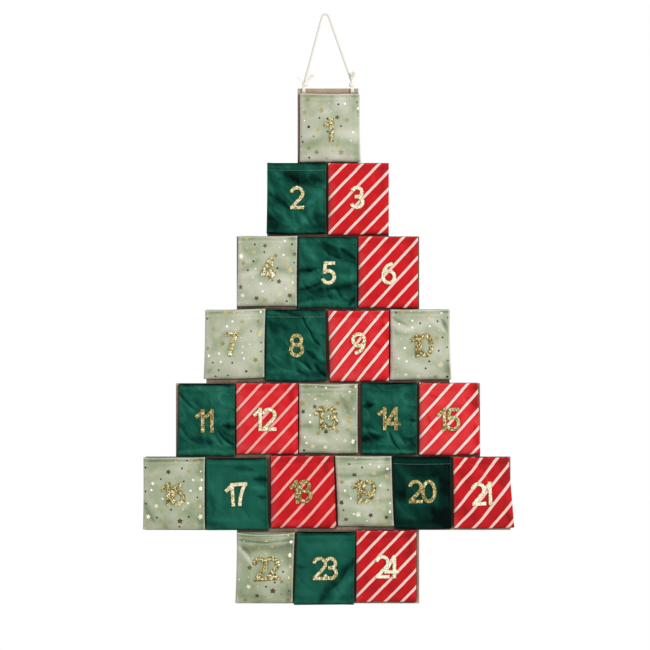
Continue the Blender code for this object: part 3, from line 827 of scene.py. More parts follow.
@dataclass
class HangingCord:
    """The cord over the nail, with its turn through each hole, its knots and its frayed ends."""

    diameter: float = 2.7 * MM
    left_foot: Vector = Vector((-33.9 * MM, 0.0, -108.5 * MM))
    right_foot: Vector = Vector((42.7 * MM, 0.0, -108.5 * MM))
    nail_bend: float = 5.6 * MM
    leg_steps: int = 70
    bend_points: int = 11
    crown: float = 1.36
    swing_axis: Vector = Vector((4.2 * MM, 0.0, -121.0 * MM))
    hole_spacing: float = 78.6 * MM
    turn_radius: float = 4.15 * MM
    turn_gap: float = 2.4 * MM
    turn_steps: int = 36
    turn_thickness: float = 0.9
    bulge: tuple[float, float, float] = (0.17, 230, 16)
    knot_centre: float = 9.0 * MM
    knot_radii: tuple[float, float] = (3.1 * MM, 2.1 * MM)
    knot_start: float = -110.0
    knot_turns: float = 1.75
    knot_steps: int = 40
    knot_core: tuple[float, ...] = (-3.2, -1.5, 0.0, 1.5, 3.4)
    knot_front: tuple[float, float, float] = (0.3 * MM, -2.6 * MM, 0.8 * MM)

    def leaving(self, foot: Vector, centre: Vector) -> float:
        """Finds where a straight leg leaves the bend over the nail.

        Args:
            foot: the leg's lower end.
            centre: the bend's centre.

        Returns:
            The angle from straight up, below zero on the left.
        """
        away = foot - centre
        angle = math.pi - math.atan2(abs(away.x), -away.z) - math.acos(self.nail_bend / away.length)
        return math.copysign(angle, away.x)

    def route(self) -> list[Vector]:
        """Returns the cord's way: up from the left knot, round the nail, and down to the right knot."""
        centre = Vector((0.0, 0.0, self.diameter / 2 - self.nail_bend))
        ends = (self.leaving(self.left_foot, centre), self.leaving(self.right_foot, centre))
        angles = np.linspace(*ends, self.bend_points)
        bend = [centre + self.nail_bend * Vector((math.sin(a), 0.0, math.cos(a))) for a in angles]
        steps = self.leg_steps
        left = [self.left_foot.lerp(bend[0], k / steps) for k in range(steps)]
        right = [bend[-1].lerp(self.right_foot, (k + 1) / steps) for k in range(steps)]
        return [*left, *bend, *right]

    def hole(self, side: Side) -> Vector:
        """Returns the middle of the web above a hole, which a turn goes round."""
        return self.swing_axis + Vector((side.value * self.hole_spacing / 2, 0.0, 0.0))

    def turn_angles(self) -> list[float]:
        """Returns the angle of each point of a turn, in degrees from straight forward."""
        return [90 + 360 * k / self.turn_steps for k in range(self.turn_steps + 1)]

    def turn_shares(self) -> list[float]:
        """Returns how thick the cord is along a turn: taut in front, bulging at the hole, squeezed in it."""
        swells = [[share * bump(a, *place) for share, *place in TURN_SWELLS] for a in self.turn_angles()]
        return [sum(swell, self.turn_thickness) for swell in swells]

    def turn_line(self, side: Side, turn: Side) -> list[Vector]:
        """Returns one of the two turns through a hole, round the top strip and back into the knot.

        Args:
            side: which hole it goes through.
            turn: which of the two it is.

        Returns:
            The points of its middle. The turns part a little where they bulge out of the hole's front.
        """
        centre, line = self.hole(side), []
        share, *place = self.bulge
        for angle in self.turn_angles():
            apart = sum((gap * MM * bump(angle, *spot) for gap, *spot in TURN_GAPS), self.turn_gap / 2)
            out = self.turn_radius * (1 + share * bump(angle, *place))
            a = math.radians(angle)
            line.append(centre + Vector((turn.value * apart, out * math.cos(a), out * math.sin(a))))
        return line

    def knot_line(self, middle: Vector, side: Side) -> list[Vector]:
        """Returns the knot's winding: the cord's end passes round the standing part and is tucked under.

        Args:
            middle: the knot's middle.
            side: which knot it is; the right one is the left one's mirror image.

        Returns:
            The points of the winding's middle.
        """
        wide, deep = self.knot_radii
        line = []
        for s in (k / self.knot_steps for k in range(self.knot_steps + 1)):
            angle = side.value * (math.radians(self.knot_start) + TURN * self.knot_turns * s)
            height = (-2.0 + 4.0 * s) * MM + 0.6 * MM * math.sin(angle)
            line.append(middle + Vector((wide * math.sin(angle), -deep * math.cos(angle), height)))
        return line

    def loose_ends(self, rope: Rope, fray: Fray, front: Vector, side: Side) -> list[Mesh]:
        """Frays a knot's loose ends: the strands open, and their fibres stand out beyond them.

        Args:
            rope: what lays the strands.
            fray: what makes the fibres.
            front: where they leave the knot.
            side: which knot it is.

        Returns:
            The meshes of the opened strands and of the tufts.
        """
        tips, share, tufts = LOOSE_ENDS[side]
        last = len(OPENED) - 1
        strands = [[front.lerp(front + Vector(tip) * MM, k / last) for k in range(last + 1)] for tip in tips]
        name = f"opened_strands_{side.name.lower()}"
        opened = rope.lay(name, strands, thickness=[share * thick for thick in OPENED])
        return [opened, *(fray.open(front, tuft) for tuft in tufts)]

    def piece(self, mesh: bpy.types.Mesh) -> bpy.types.Object:
        """Makes a mesh a piece of the cord, under the mesh's name."""
        return settle(mesh.name, mesh, "hanger", slot="cotton_cord")

    def build(self) -> None:
        rope, fray = Rope(self.crown * self.diameter), Fray()
        route = self.route()
        main = self.piece(rope.lay("cord_over_nail", [route], SHADED_COTTON))
        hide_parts("hanging_cord")
        goes_with = []
        for side in Side:
            label = side.name.lower()
            turns = [self.turn_line(side, turn) for turn in Side]
            ring = self.piece(rope.lay(f"cord_turn_{label}", turns, thickness=self.turn_shares()))
            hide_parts(f"cord_ring_{label}")
            beside = side.value * self.hole_spacing / 2 + KNOT_SHIFTS[side]
            middle = self.swing_axis + Vector((beside, 0.0, self.knot_centre))
            core = [middle + Vector((0.0, 0.0, h * MM)) for h in self.knot_core]
            knot = self.piece(rope.lay(f"cord_knot_{label}", [self.knot_line(middle, side), core]))
            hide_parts(f"knot_{label}")
            front = middle + Vector(self.knot_front)
            goes_with += [ring, knot]
            goes_with += [self.piece(mesh) for mesh in self.loose_ends(rope, fray, front, side)]
        length = sum((q - p).length for p, q in zip(route, route[1:]))
        tuple(self.left_foot)
        [tuple(p) for p in route]
        LOG.info("cord: %.0f mm from knot to knot", length / MM)


# ---- board


@dataclass
class TreeBoard:
    """The stepped board, whose CAD shape stays."""

    node: str = "tree_board"
    finish: Finish = SawnBoard("scorched_fibreboard")

    def build(self) -> None:
        """Gives the board its finish."""
        board = frame["nodes"][self.node]
        board.data.materials.clear()
        board.data.materials.append(self.finish.material())
        LOG.info("board: finished")


# ---- pouches


@dataclass(frozen=True)
class Fold:
    """A fold, crease or soft hollow in a pouch's front, along a slightly bent line that thins out at its ends.

    Places are shares of the pouch's width and length, from the mouth's left corner. The width and the rise
    are in millimetres, and a rise below zero sinks. Its painted shading lightens or darkens the cloth along it.
    """

    u0: float
    v0: float
    u1: float
    v1: float
    width: float
    rise: float
    tone: float
    bend: float = 0.07
    narrow: float = 7.0

    def reach(self, x: np.ndarray, y: np.ndarray, width: float, length: float) -> tuple[np.ndarray, np.ndarray]:
        """Says how much of the fold is at each place.

        Args:
            x: places across the pouch, in millimetres.
            y: places down the pouch, in millimetres.
            width: the pouch's width, in millimetres.
            length: the pouch's length, in millimetres.

        Returns:
            The share of its crest, and of the flank beside a narrow one, which takes the light: it gets painted
            shading opposite to the crest's.
        """
        dx, dy = (self.u1 - self.u0) * width, (self.v1 - self.v0) * length
        run = max(math.hypot(dx, dy), 0.5)
        x, y = x - self.u0 * width, y - self.v0 * length
        t = (x * dx + y * dy) / run**2
        arc = np.clip(4 * t * (1 - t), 0, 1)
        # Each fold bends to its own side, by where it lies
        bend = self.bend * math.sin(37 * (self.u0 + self.v1)) * run
        across = (y * dx - x * dy) / run - bend * arc
        beyond = run * np.maximum(np.maximum(-t, t - 1), 0)
        half = 0.5 * self.width * (0.5 + 0.5 * np.sqrt(arc))
        ends = bump(beyond, 0, 0.5 * self.width)
        below = 1.0 if dx >= 0 else -1.0
        flank = bump(across * below, 1.7 * half, half) * ends * (self.width < self.narrow)
        return bump(across, 0, half) * ends, flank


# Each pouch's folds in whole numbers: a fold's values, times these
FOLD_UNITS = (100, 100, 100, 100, 1, 10, 100)
FOLDS = {
    1: (
        (3, 76.5, 97, 77.5, 17, -7, -42), (5, 62, 95, 61, 14, 5, 32), (53, 6, 51, 32, 10, -3, -28),
        (68, 8, 74, 30, 16, 4, 28), (10, 92, 90, 92, 9, 3, 25), (96, 20, 97, 32, 4, -6, -50),
        (12, 18, 20, 35, 20, -2, -18), (5, 5, 90, 4.5, 2.5, -4, -22)),
    2: (
        (18, 15, 22, 17, 15, 5, 40), (33, 17, 85, 24, 20, -7, -60), (40, 20, 62, 30, 9, -5, -35),
        (95, 36, 72, 56, 17, 8, 55), (6, 44, 36, 62, 9, -8, -60), (30, 70, 46, 93, 12, 5, 45),
        (76, 66, 50, 92, 13, 5, 40), (6, 78, 16, 92, 26, -5, -55), (82, 74, 90, 90, 14, -4, -35),
        (5, 98.5, 95, 98.5, 5, -5, -100), (2, 30, 10, 45, 10, 3, 25), (10, 2, 90, 2, 6, -2, -20)),
    4: (
        (16, 20, 38, 26, 20, -5, -42), (2, 50, 36, 34, 9, -7, -45), (6, 57, 30, 52, 11, 8, 60),
        (66, 47, 95, 53, 13, -6, -50), (60, 28, 90, 36, 10, 4, 25), (20, 72, 90, 80, 32, 5, 38),
        (55, 65, 85, 63, 10, 4, 30), (8, 5.5, 95, 5, 2.5, -4, -25), (30, 93, 80, 95, 10, -2, -20)),
    5: (
        (10, 10, 28, 28, 22, 6, 42), (42, 8, 98, 32, 14, -8, -55), (44, 17, 70, 30, 5, -8, -50),
        (72, 16, 95, 30, 6, -7, -45), (52, 8, 80, 16, 6, 4, 30), (0, 48.5, 20, 47.5, 9, -10, -85),
        (16, 47, 34, 44, 6, -5, -40), (3, 57, 38, 53, 12, 7, 45), (4, 73.5, 38, 65, 6, -9, -55),
        (14, 75, 52, 72, 15, -7, -60), (60, 71, 98, 65.5, 12, -9, -70), (68, 54, 96, 56, 13, 6, 35),
        (20, 86, 70, 82, 12, -4, -35), (6, 94, 84, 93.5, 9, 5, 50), (87, 95, 95, 86, 6, -8, -70)),
    7: (
        (15, 56, 40, 32, 16, -4, -32), (34, 50, 55, 28, 10, 4, 25), (66, 42, 90, 34, 22, 6, 38),
        (5, 12, 15, 45, 14, -3, -20), (10, 75, 40, 66, 18, 4, 25), (2, 93, 12, 86, 8, -5, -40),
        (6, 5.5, 94, 5, 2.5, -4, -22), (50, 10, 80, 12, 14, 3, 20)),
    8: (
        (62, 11, 74, 30, 3.8, -12, -75), (74, 30, 90, 50, 4.2, -12, -75), (78, 18, 92, 36, 17, 8, 36),
        (16, 0, 62, 11, 7, -8, -60), (8, 20, 28, 26, 24, -5, -40), (47, 67, 74, 83, 4.5, -9, -60),
        (66, 58, 82, 68, 8, -8, -65), (83, 78, 97, 92, 7, -8, -65), (85, 60, 95, 70, 9, 4, 35),
        (6, 88, 52, 90, 10, 4, 38), (52, 86, 72, 96, 6, -5, -40), (8, 56, 30, 60, 18, 3, 20),
        (5, 4, 30, 5, 8, 2, 20)),
    9: (
        (76, 47, 86, 53, 7, -5, -25), (90, 20, 97, 42, 8, -5, -28), (10, 60, 30, 84, 24, 4, 12),
        (60, 5, 92, 16, 14, 3, 10)),
    10: (
        (4, 12, 24, 21, 6, -9, -60), (3, 31, 30, 36, 8, -8, -50), (6, 22, 36, 30, 8, 7, 50),
        (26, 30, 62, 20, 9, 5, 30), (64, 12, 88, 30, 8, 8, 50), (86, 15, 95, 31, 6, -8, -50),
        (4, 60, 50, 88, 20, 5, 38), (30, 62, 70, 78, 12, -3, -20), (92, 72, 99, 95, 8, -5, -40),
        (30, 5, 95, 4.5, 2.5, -4, -22)),
    11: (
        (1, 11, 30, 35, 5, -10, -70), (4, 20, 28, 42, 9, 5, 25), (50, 10, 92, 30, 34, 5, 30),
        (30, 24, 55, 50, 7, -4, -28), (83, 58, 100, 60, 10, -12, -100), (64, 58, 86, 70, 8, -6, -50),
        (72, 66, 97, 84, 5, -11, -75), (28, 76, 58, 80, 15, -7, -55), (3, 56, 24, 70, 10, -5, -35),
        (6, 94, 94, 94.5, 9, 5, 42), (78, 86, 95, 92, 8, 3, 30), (70, 48, 98, 50, 9, 4, 30),
        (10, 2, 90, 2, 6, -3, -35)),
    12: (
        (82, 66, 99, 70, 10, -8, -15), (86, 2, 90, 30, 8, -4, -20), (10, 30, 40, 60, 24, 4, 12)),
    13: (
        (2, 61.5, 33, 63, 8, -8, -55), (5, 40, 30, 50, 14, 5, 35), (6, 72, 42, 82, 18, 8, 60),
        (71, 20, 84, 42, 11, -7, -50), (64, 30, 74, 56, 8, 5, 35), (84, 68, 98, 74, 9, -5, -45),
        (60, 76, 85, 86, 14, 4, 30), (3, 13.5, 97, 13, 3, -5, -30), (30, 3, 70, 4.5, 3, -8, -60),
        (3, 9, 97, 8.5, 3, 3, 25), (36, 18, 56, 22, 12, -3, -25)),
    14: (
        (5, 33, 17, 31, 11, -10, -85), (3, 79, 30, 76, 17, -9, -80), (7, 60, 20, 62, 12, -4, -35),
        (49, 66, 68, 93, 4.2, -10, -60), (34, 66, 46, 86, 12, 4, 30), (80, 78, 93, 86, 10, -6, -55),
        (85, 74, 97, 72, 5, 4, 35), (90, 52, 97, 53, 6, -7, -65), (30, 20, 85, 28, 30, 4, 28),
        (5, 96, 95, 96.5, 6, 4, 40), (20, 3, 80, 3, 7, -3, -30), (8, 66, 30, 70, 6, 4, 35)),
    15: (
        (95, 4, 97, 40, 12, -8, -45), (78, 20, 95, 30, 8, -6, -22), (14, 46, 22, 62, 7, -5, -25),
        (20, 18, 28, 20, 7, -4, -25), (93, 62, 98, 95, 10, -6, -40), (30, 30, 50, 70, 26, 4, 12)),
    16: (
        (2, 62, 17, 86, 8, -8, -55), (10, 58, 30, 82, 10, 4, 28), (55, 16, 90, 30, 24, 4, 30),
        (10, 24, 42, 14, 10, 3, 22), (60, 80, 90, 62, 16, -3, -28), (4, 5.5, 96, 5, 3, -4, -25),
        (90, 30, 97, 60, 8, 3, 25)),
    17: (
        (52, 13, 72, 15, 11, -5, -45), (83, 29, 100, 31, 11, -9, -85), (87, 53, 96, 54, 8, -8, -65),
        (10, 30, 35, 60, 26, 3, 22), (20, 86, 90, 90, 14, 3, 30), (5, 92, 30, 97, 10, -3, -30),
        (78, 40, 95, 42, 10, 4, 35), (60, 22, 80, 22, 7, 3, 22), (10, 3, 90, 2, 7, -2, -20),
        (6, 50, 12, 75, 10, -2, -25)),
    19: (
        (2, 27, 96, 21, 10, -9, -50), (5, 15, 95, 12, 7, 5, 35), (3, 40, 36, 34, 9, 6, 45),
        (30, 61, 98, 62, 8, -6, -35), (5, 70, 60, 73, 16, 5, 40), (2, 52, 22, 58, 9, -5, -35),
        (80, 40, 97, 46, 10, 4, 35), (10, 93, 90, 95, 8, -3, -25), (4, 9.5, 96, 6.5, 3, -5, -30)),
    20: (
        (6, 66, 30, 84, 26, 5, 50), (8, 14, 30, 30, 20, 4, 35), (35, 66, 60, 80, 18, 3, 20),
        (70, 80, 95, 95, 26, -5, -50), (10, 50, 30, 56, 16, -3, -30), (70, 20, 95, 50, 20, -3, -25)),
    21: (
        (10, 20, 40, 50, 16, -12, -16), (30, 10, 60, 34, 9, 10, 20), (6, 62, 30, 84, 18, -8, -12),
        (90, 80, 99, 97, 7, -12, -40), (60, 30, 95, 60, 12, 8, 12), (30, 30, 50, 48, 12, -6, -10)),
    22: (
        (2, 21, 28, 46, 7, 10, 60), (10, 19, 36, 42, 7, -6, -40), (3, 10, 50, 14, 4, -9, -60),
        (50, 14, 98, 10, 4, -9, -60), (14, 23, 94, 20, 13, -6, -50), (55, 72, 90, 50, 20, 4, 32),
        (3, 7, 97, 6.5, 3, 3, 35), (10, 90, 60, 94, 14, -3, -20)),
    23: (
        (97, 42, 46, 93, 17, -10, -62), (86, 50, 60, 78, 6, -5, -30), (97, 62, 68, 94, 13, 5, 32),
        (5, 47, 14, 48, 8, -6, -50), (8, 3.5, 95, 3.5, 8, -4, -42), (30, 20, 80, 18, 24, 3, 22),
        (5, 80, 30, 88, 22, 3, 20), (6, 97, 94, 97.5, 5, -2, -30)),
}


class Mark(Enum):
    """The foil marks: (whether it is a star, its shade from dark to white as a painted reflection, its radius in
    millimetres).
    """

    GOLD_STAR = (True, 0.6, 4.6)
    PALE_STAR = (True, 0.82, 4.6)
    OLIVE_STAR = (True, 0.49, 4.5)
    DARK_STAR = (True, 0.17, 4.4)
    WHITE_DOT = (False, 1.0, 1.9)
    PALE_DOT = (False, 0.86, 1.75)
    BRONZE_DOT = (False, 0.34, 1.7)
    DARK_DOT = (False, 0.03, 1.7)
    FAINT_STAR = (True, 0.66, 3.4)
    FAINT_DOT = (False, 0.5, 1.0)
    SMALL_PALE_DOT = (False, 0.9, 1.1)


# Where the larger marks lie, in hundredths of the pouch's width and length, and how much larger than usual
MARKS = {
    1: {
        Mark.GOLD_STAR: ((33, 11), (31, 53), (8, 28, 1.2), (78, 39), (68, 86, 1.2), (62, 75), (44, 73), (36, 25)),
        Mark.DARK_STAR: ((62, 35),),
        Mark.OLIVE_STAR: ((28, 86), (15, 80), (14, 9)),
        Mark.DARK_DOT: (
            (15, 49, 1.3), (33, 36), (46, 37), (64, 16), (95, 13), (68, 48), (46, 56), (5, 71), (16, 94)),
        Mark.BRONZE_DOT: ((3, 63), (23, 63)),
        Mark.WHITE_DOT: ((75, 15, 1.2), (8, 40, 0.8), (97, 22, 0.9), (88, 57, 0.8), (84, 69, 0.6), (3, 82, 0.7)),
    },
    4: {
        Mark.GOLD_STAR: ((15, 3), (87, 49, 1.2), (47, 92, 1.2), (28, 23), (80, 36), (57, 11)),
        Mark.PALE_STAR: ((6, 29, 1.2), (70, 83, 1.2), (10, 85)),
        Mark.OLIVE_STAR: ((64, 28), (10, 39)),
        Mark.WHITE_DOT: ((79, 7), (77, 27), (40, 68, 1.2), (43, 79)),
        Mark.DARK_STAR: ((46, 14), (95, 26), (6, 73), (88, 85), (33, 89), (70, 65)),
        Mark.DARK_DOT: ((29, 12), (91, 12), (45, 23), (27, 36), (95, 38), (67, 46), (18, 49), (83, 93)),
        Mark.PALE_DOT: ((31, 47), (27, 59), (82, 75)),
    },
    7: {
        Mark.GOLD_STAR: ((34, 5, 1.2), (62, 18), (90, 36), (15, 28)),
        Mark.WHITE_DOT: ((46, 17), (37, 24), (92, 4), (8, 66), (25, 63), (28, 75), (66, 71)),
        Mark.PALE_DOT: ((64, 54), (63, 63), (75, 51)),
        Mark.OLIVE_STAR: ((6, 55), (85, 74, 1.2), (31, 49)),
        Mark.BRONZE_DOT: ((77, 32), (88, 18)),
        Mark.DARK_DOT: (
            (4, 12), (94, 49), (94, 62), (15, 76), (47, 77), (25, 87), (70, 90, 1.2), (40, 95), (20, 96)),
    },
    10: {
        Mark.PALE_STAR: ((82, 79, 1.2), (26, 93), (46, 95)),
        Mark.GOLD_STAR: ((63, 9), (77, 41), (21, 4), (74, 96)),
        Mark.WHITE_DOT: ((37, 16), (37, 26), (24, 55), (14, 70), (27, 74, 1.2), (66, 24), (86, 5), (15, 21)),
        Mark.DARK_DOT: (
            (94, 54), (95, 73), (58, 84), (93, 96, 1.2), (96, 12), (50, 20), (87, 40), (80, 59), (64, 74),
            (79, 17), (10, 4)),
    },
    13: {
        Mark.OLIVE_STAR: (
            (13, 4), (6, 28, 1.2), (66, 28, 1.2), (83, 28), (83, 67), (65, 68), (33, 71), (86, 48), (85, 54)),
        Mark.DARK_STAR: ((27, 33), (7, 40), (46, 69)),
        Mark.WHITE_DOT: ((19, 45), (19, 55, 1.2), (10, 77), (13, 85, 1.2), (86, 11)),
        Mark.PALE_STAR: ((24, 90), (45, 91), (78, 82), (92, 83)),
        Mark.PALE_DOT: ((46, 5), (28, 22)),
        Mark.DARK_DOT: ((95, 84, 1.4), (9, 96, 1.2)),
    },
    16: {
        Mark.DARK_STAR: ((41, 20), (60, 88, 1.2)),
        Mark.DARK_DOT: (
            (71, 4), (4, 14), (63, 15), (29, 30), (66, 33), (4, 47), (5, 64), (88, 55), (46, 72), (23, 83),
            (74, 82), (59, 96)),
        Mark.GOLD_STAR: ((53, 7), (89, 7), (74, 19), (16, 27), (91, 67), (36, 95), (80, 95)),
        Mark.WHITE_DOT: ((16, 36, 1.2), (81, 31), (95, 31), (77, 46), (14, 45), (32, 57), (73, 63)),
        Mark.PALE_STAR: ((93, 43), (22, 67), (9, 82), (93, 82, 1.2)),
    },
    19: {
        Mark.GOLD_STAR: ((67, 24, 1.2), (88, 29), (71, 73), (75, 95, 1.2)),
        Mark.OLIVE_STAR: ((10, 37),),
        Mark.DARK_STAR: ((15, 90), (33, 27), (8, 66), (59, 84), (87, 87)),
        Mark.DARK_DOT: ((25, 11), (47, 16), (11, 77), (92, 48)),
        Mark.WHITE_DOT: (
            (15, 49), (25, 60), (78, 42), (61, 11), (77, 15), (92, 18), (29, 82), (52, 92), (95, 67), (94, 79)),
        Mark.PALE_STAR: ((37, 83, 1.2),),
    },
    22: {
        Mark.OLIVE_STAR: ((25, 22), (40, 21), (62, 19), (80, 69), (92, 95), (18, 95)),
        Mark.WHITE_DOT: ((94, 13, 1.3), (6, 66, 0.7)),
        Mark.PALE_STAR: ((93, 32), (23, 76)),
        Mark.DARK_STAR: ((24, 49), (65, 82, 1.2), (38, 89)),
        Mark.DARK_DOT: ((82, 55), (68, 70), (68, 59), (53, 76), (93, 82)),
        Mark.BRONZE_DOT: ((80, 87),),
    },
}


@dataclass(frozen=True)
class Stripes:
    """How a pouch's stripes lie: their slope in degrees, a point of one in millimetres, and their waver."""

    slope: float
    across: float
    up: float
    waver: float


STRIPES = {
    3: Stripes(46.1, 4.2, -327.3, 0.2),
    6: Stripes(47.2, 52.8, -439.6, 0.15),
    9: Stripes(50.2, 5.5, -553.8, 0.25),
    12: Stripes(46.9, -144.2, -669.2, 0.2),
    15: Stripes(47.7, 152.4, -683.1, 0.35),
    18: Stripes(48.4, -87.5, -788.2, 0.25),
    21: Stripes(50.6, 207.7, -802.8, 0.75),
    24: Stripes(46.1, 49.9, -913.6, 0.3),
}
PINK_STRIPED_POUCHES = (12, 18)
# The velvet pouches whose pile lies nearly even
SMOOTH_POUCHES = (17, 20, 23)
# The velvet pouches whose hem is sewn with the paler thread
PALE_THREADS = (2, 8, 20)
# Where the wave along a pouch's foot starts, in radians: the others start at their own number
FOOT_WAVES = {1: 4.5}
# How far the front lip sags in the middle, in millimetres, where it isn't the usual 0.8
LIP_SAGS = {5: 1.2, 8: 1.4, 11: 2.2, 13: 1.4, 14: 2.6, 17: 2.2, 20: 2.2, 22: 3.6, 23: 2.4}
# How far each cloth's seams pull its sides in, and how deep its ripples are, as shares
PINCHES = {Cloth.SAGE_SATIN: 1.0, Cloth.GREEN_VELVET: 0.8, Cloth.STRIPED_COTTON: 0.4}
RIPPLES = {Cloth.SAGE_SATIN: 1.0, Cloth.GREEN_VELVET: 1.25, Cloth.STRIPED_COTTON: 0.6}
# How light or dark a pouch's cloth is painted as a whole, painted light and shade, and the share of its
# number's flakes that are pale, both in hundredths
POUCH_SHADING = {
    2: -5, 3: -3, 4: -7, 5: 3, 6: -3, 7: -7, 8: -3, 9: 15, 10: -13, 11: 12, 12: 13, 13: -30, 14: 3, 15: 25,
    16: -39, 17: 18, 18: -10, 19: -22, 20: -72, 21: -16, 22: -51, 23: 12, 24: -17,
}
PALE_SHARES = {
    1: 42, 2: 68, 3: 107, 4: 46, 5: 80, 6: 100, 7: 44, 8: 43, 9: 80, 10: 25, 11: 33, 12: 93, 13: 30, 14: 30,
    15: 47, 16: 34, 17: 86, 18: 25, 19: 26, 20: 37, 21: 110, 22: 30, 23: 66, 24: 120,
}


class Edge(Enum):
    """The edges of a pouch's front."""

    LEFT = "left"
    RIGHT = "right"
    TOP = "top"
    BOTTOM = "bottom"


# Painted light and shade in bands along the edges of each cloth, beside its hems, lips and seams: how far in the
# band's middle lies and how wide it is, in millimetres, and how light it is
EDGE_SHADING = {
    Cloth.SAGE_SATIN: {
        Edge.LEFT: ((0.0, 0.9, 0.8), (1.4, 0.7, 0.3), (4.0, 2.2, 0.42)),
        Edge.RIGHT: ((0.0, 0.6, 0.2), (1.35, 0.8, 1.2), (3.2, 1.5, -0.3), (8.0, 4.5, -0.42)),
        Edge.TOP: ((0.0, 1.3, 1.1), (3.2, 1.0, -0.2), (4.6, 2.2, -0.3), (10.0, 1.5, 0.14)),
        Edge.BOTTOM: ((0.0, 0.9, 0.2), (1.6, 1.0, -0.1), (6.5, 3.0, 0.16)),
    },
    Cloth.GREEN_VELVET: {
        Edge.LEFT: ((0.0, 1.3, -0.3), (1.8, 1.0, 0.1), (3.5, 2.0, 0.12)),
        Edge.RIGHT: ((1.1, 0.8, 0.1), (3.6, 1.8, -0.3), (9.0, 4.0, -0.15)),
        Edge.TOP: ((0.0, 0.9, -0.6), (3.0, 1.0, -0.1), (4.9, 1.2, 0.08), (7.0, 2.6, 0.14), (12.5, 2.5, -0.1)),
        Edge.BOTTOM: ((0.0, 1.6, -0.15), (4.9, 2.5, 0.12), (12.5, 4.0, -0.18)),
    },
    Cloth.STRIPED_COTTON: {
        Edge.LEFT: ((1.0, 2.2, 0.35), (0.0, 12.0, 0.32)),
        Edge.RIGHT: ((0.0, 1.0, 0.2), (2.6, 1.3, -0.12), (10.5, 7.0, -0.16)),
        Edge.TOP: ((0.0, 1.0, 0.6), (3.0, 1.5, -0.1), (8.0, 3.0, -0.15)),
        Edge.BOTTOM: ((0.0, 1.6, -0.25), (10.0, 5.0, 0.1)),
    },
}

# Where the bag's columns of points lie beside each side, as shares of its width, and across its back
SIDE_COLUMNS = np.array((0.0, 0.004, 0.012, 0.024, 0.04, 0.06, 0.085, 0.115))
BACK_COLUMNS = np.concatenate(((0.992, 0.97), np.linspace(0.9, 0.1, 9), (0.03, 0.008)))
# Its rows of points, in millimetres: from the lip down the inside of the turned-in hem, from the lip to those
# at the hem's stitches, and from the foot up to those at its seam
HEM_INSIDE = (12.0, 9.0, 6.0, 3.5, 1.5, 0.6)
STITCH_ROWS = (10.7, 11.2, 11.5, 11.8, 12.3)
FOOT_ROWS = (0.7, 0.25)
# The rows over the lip, as angles from its inside in radians
LIP_ANGLES = (0.5, 1.2, 1.9, 2.6)


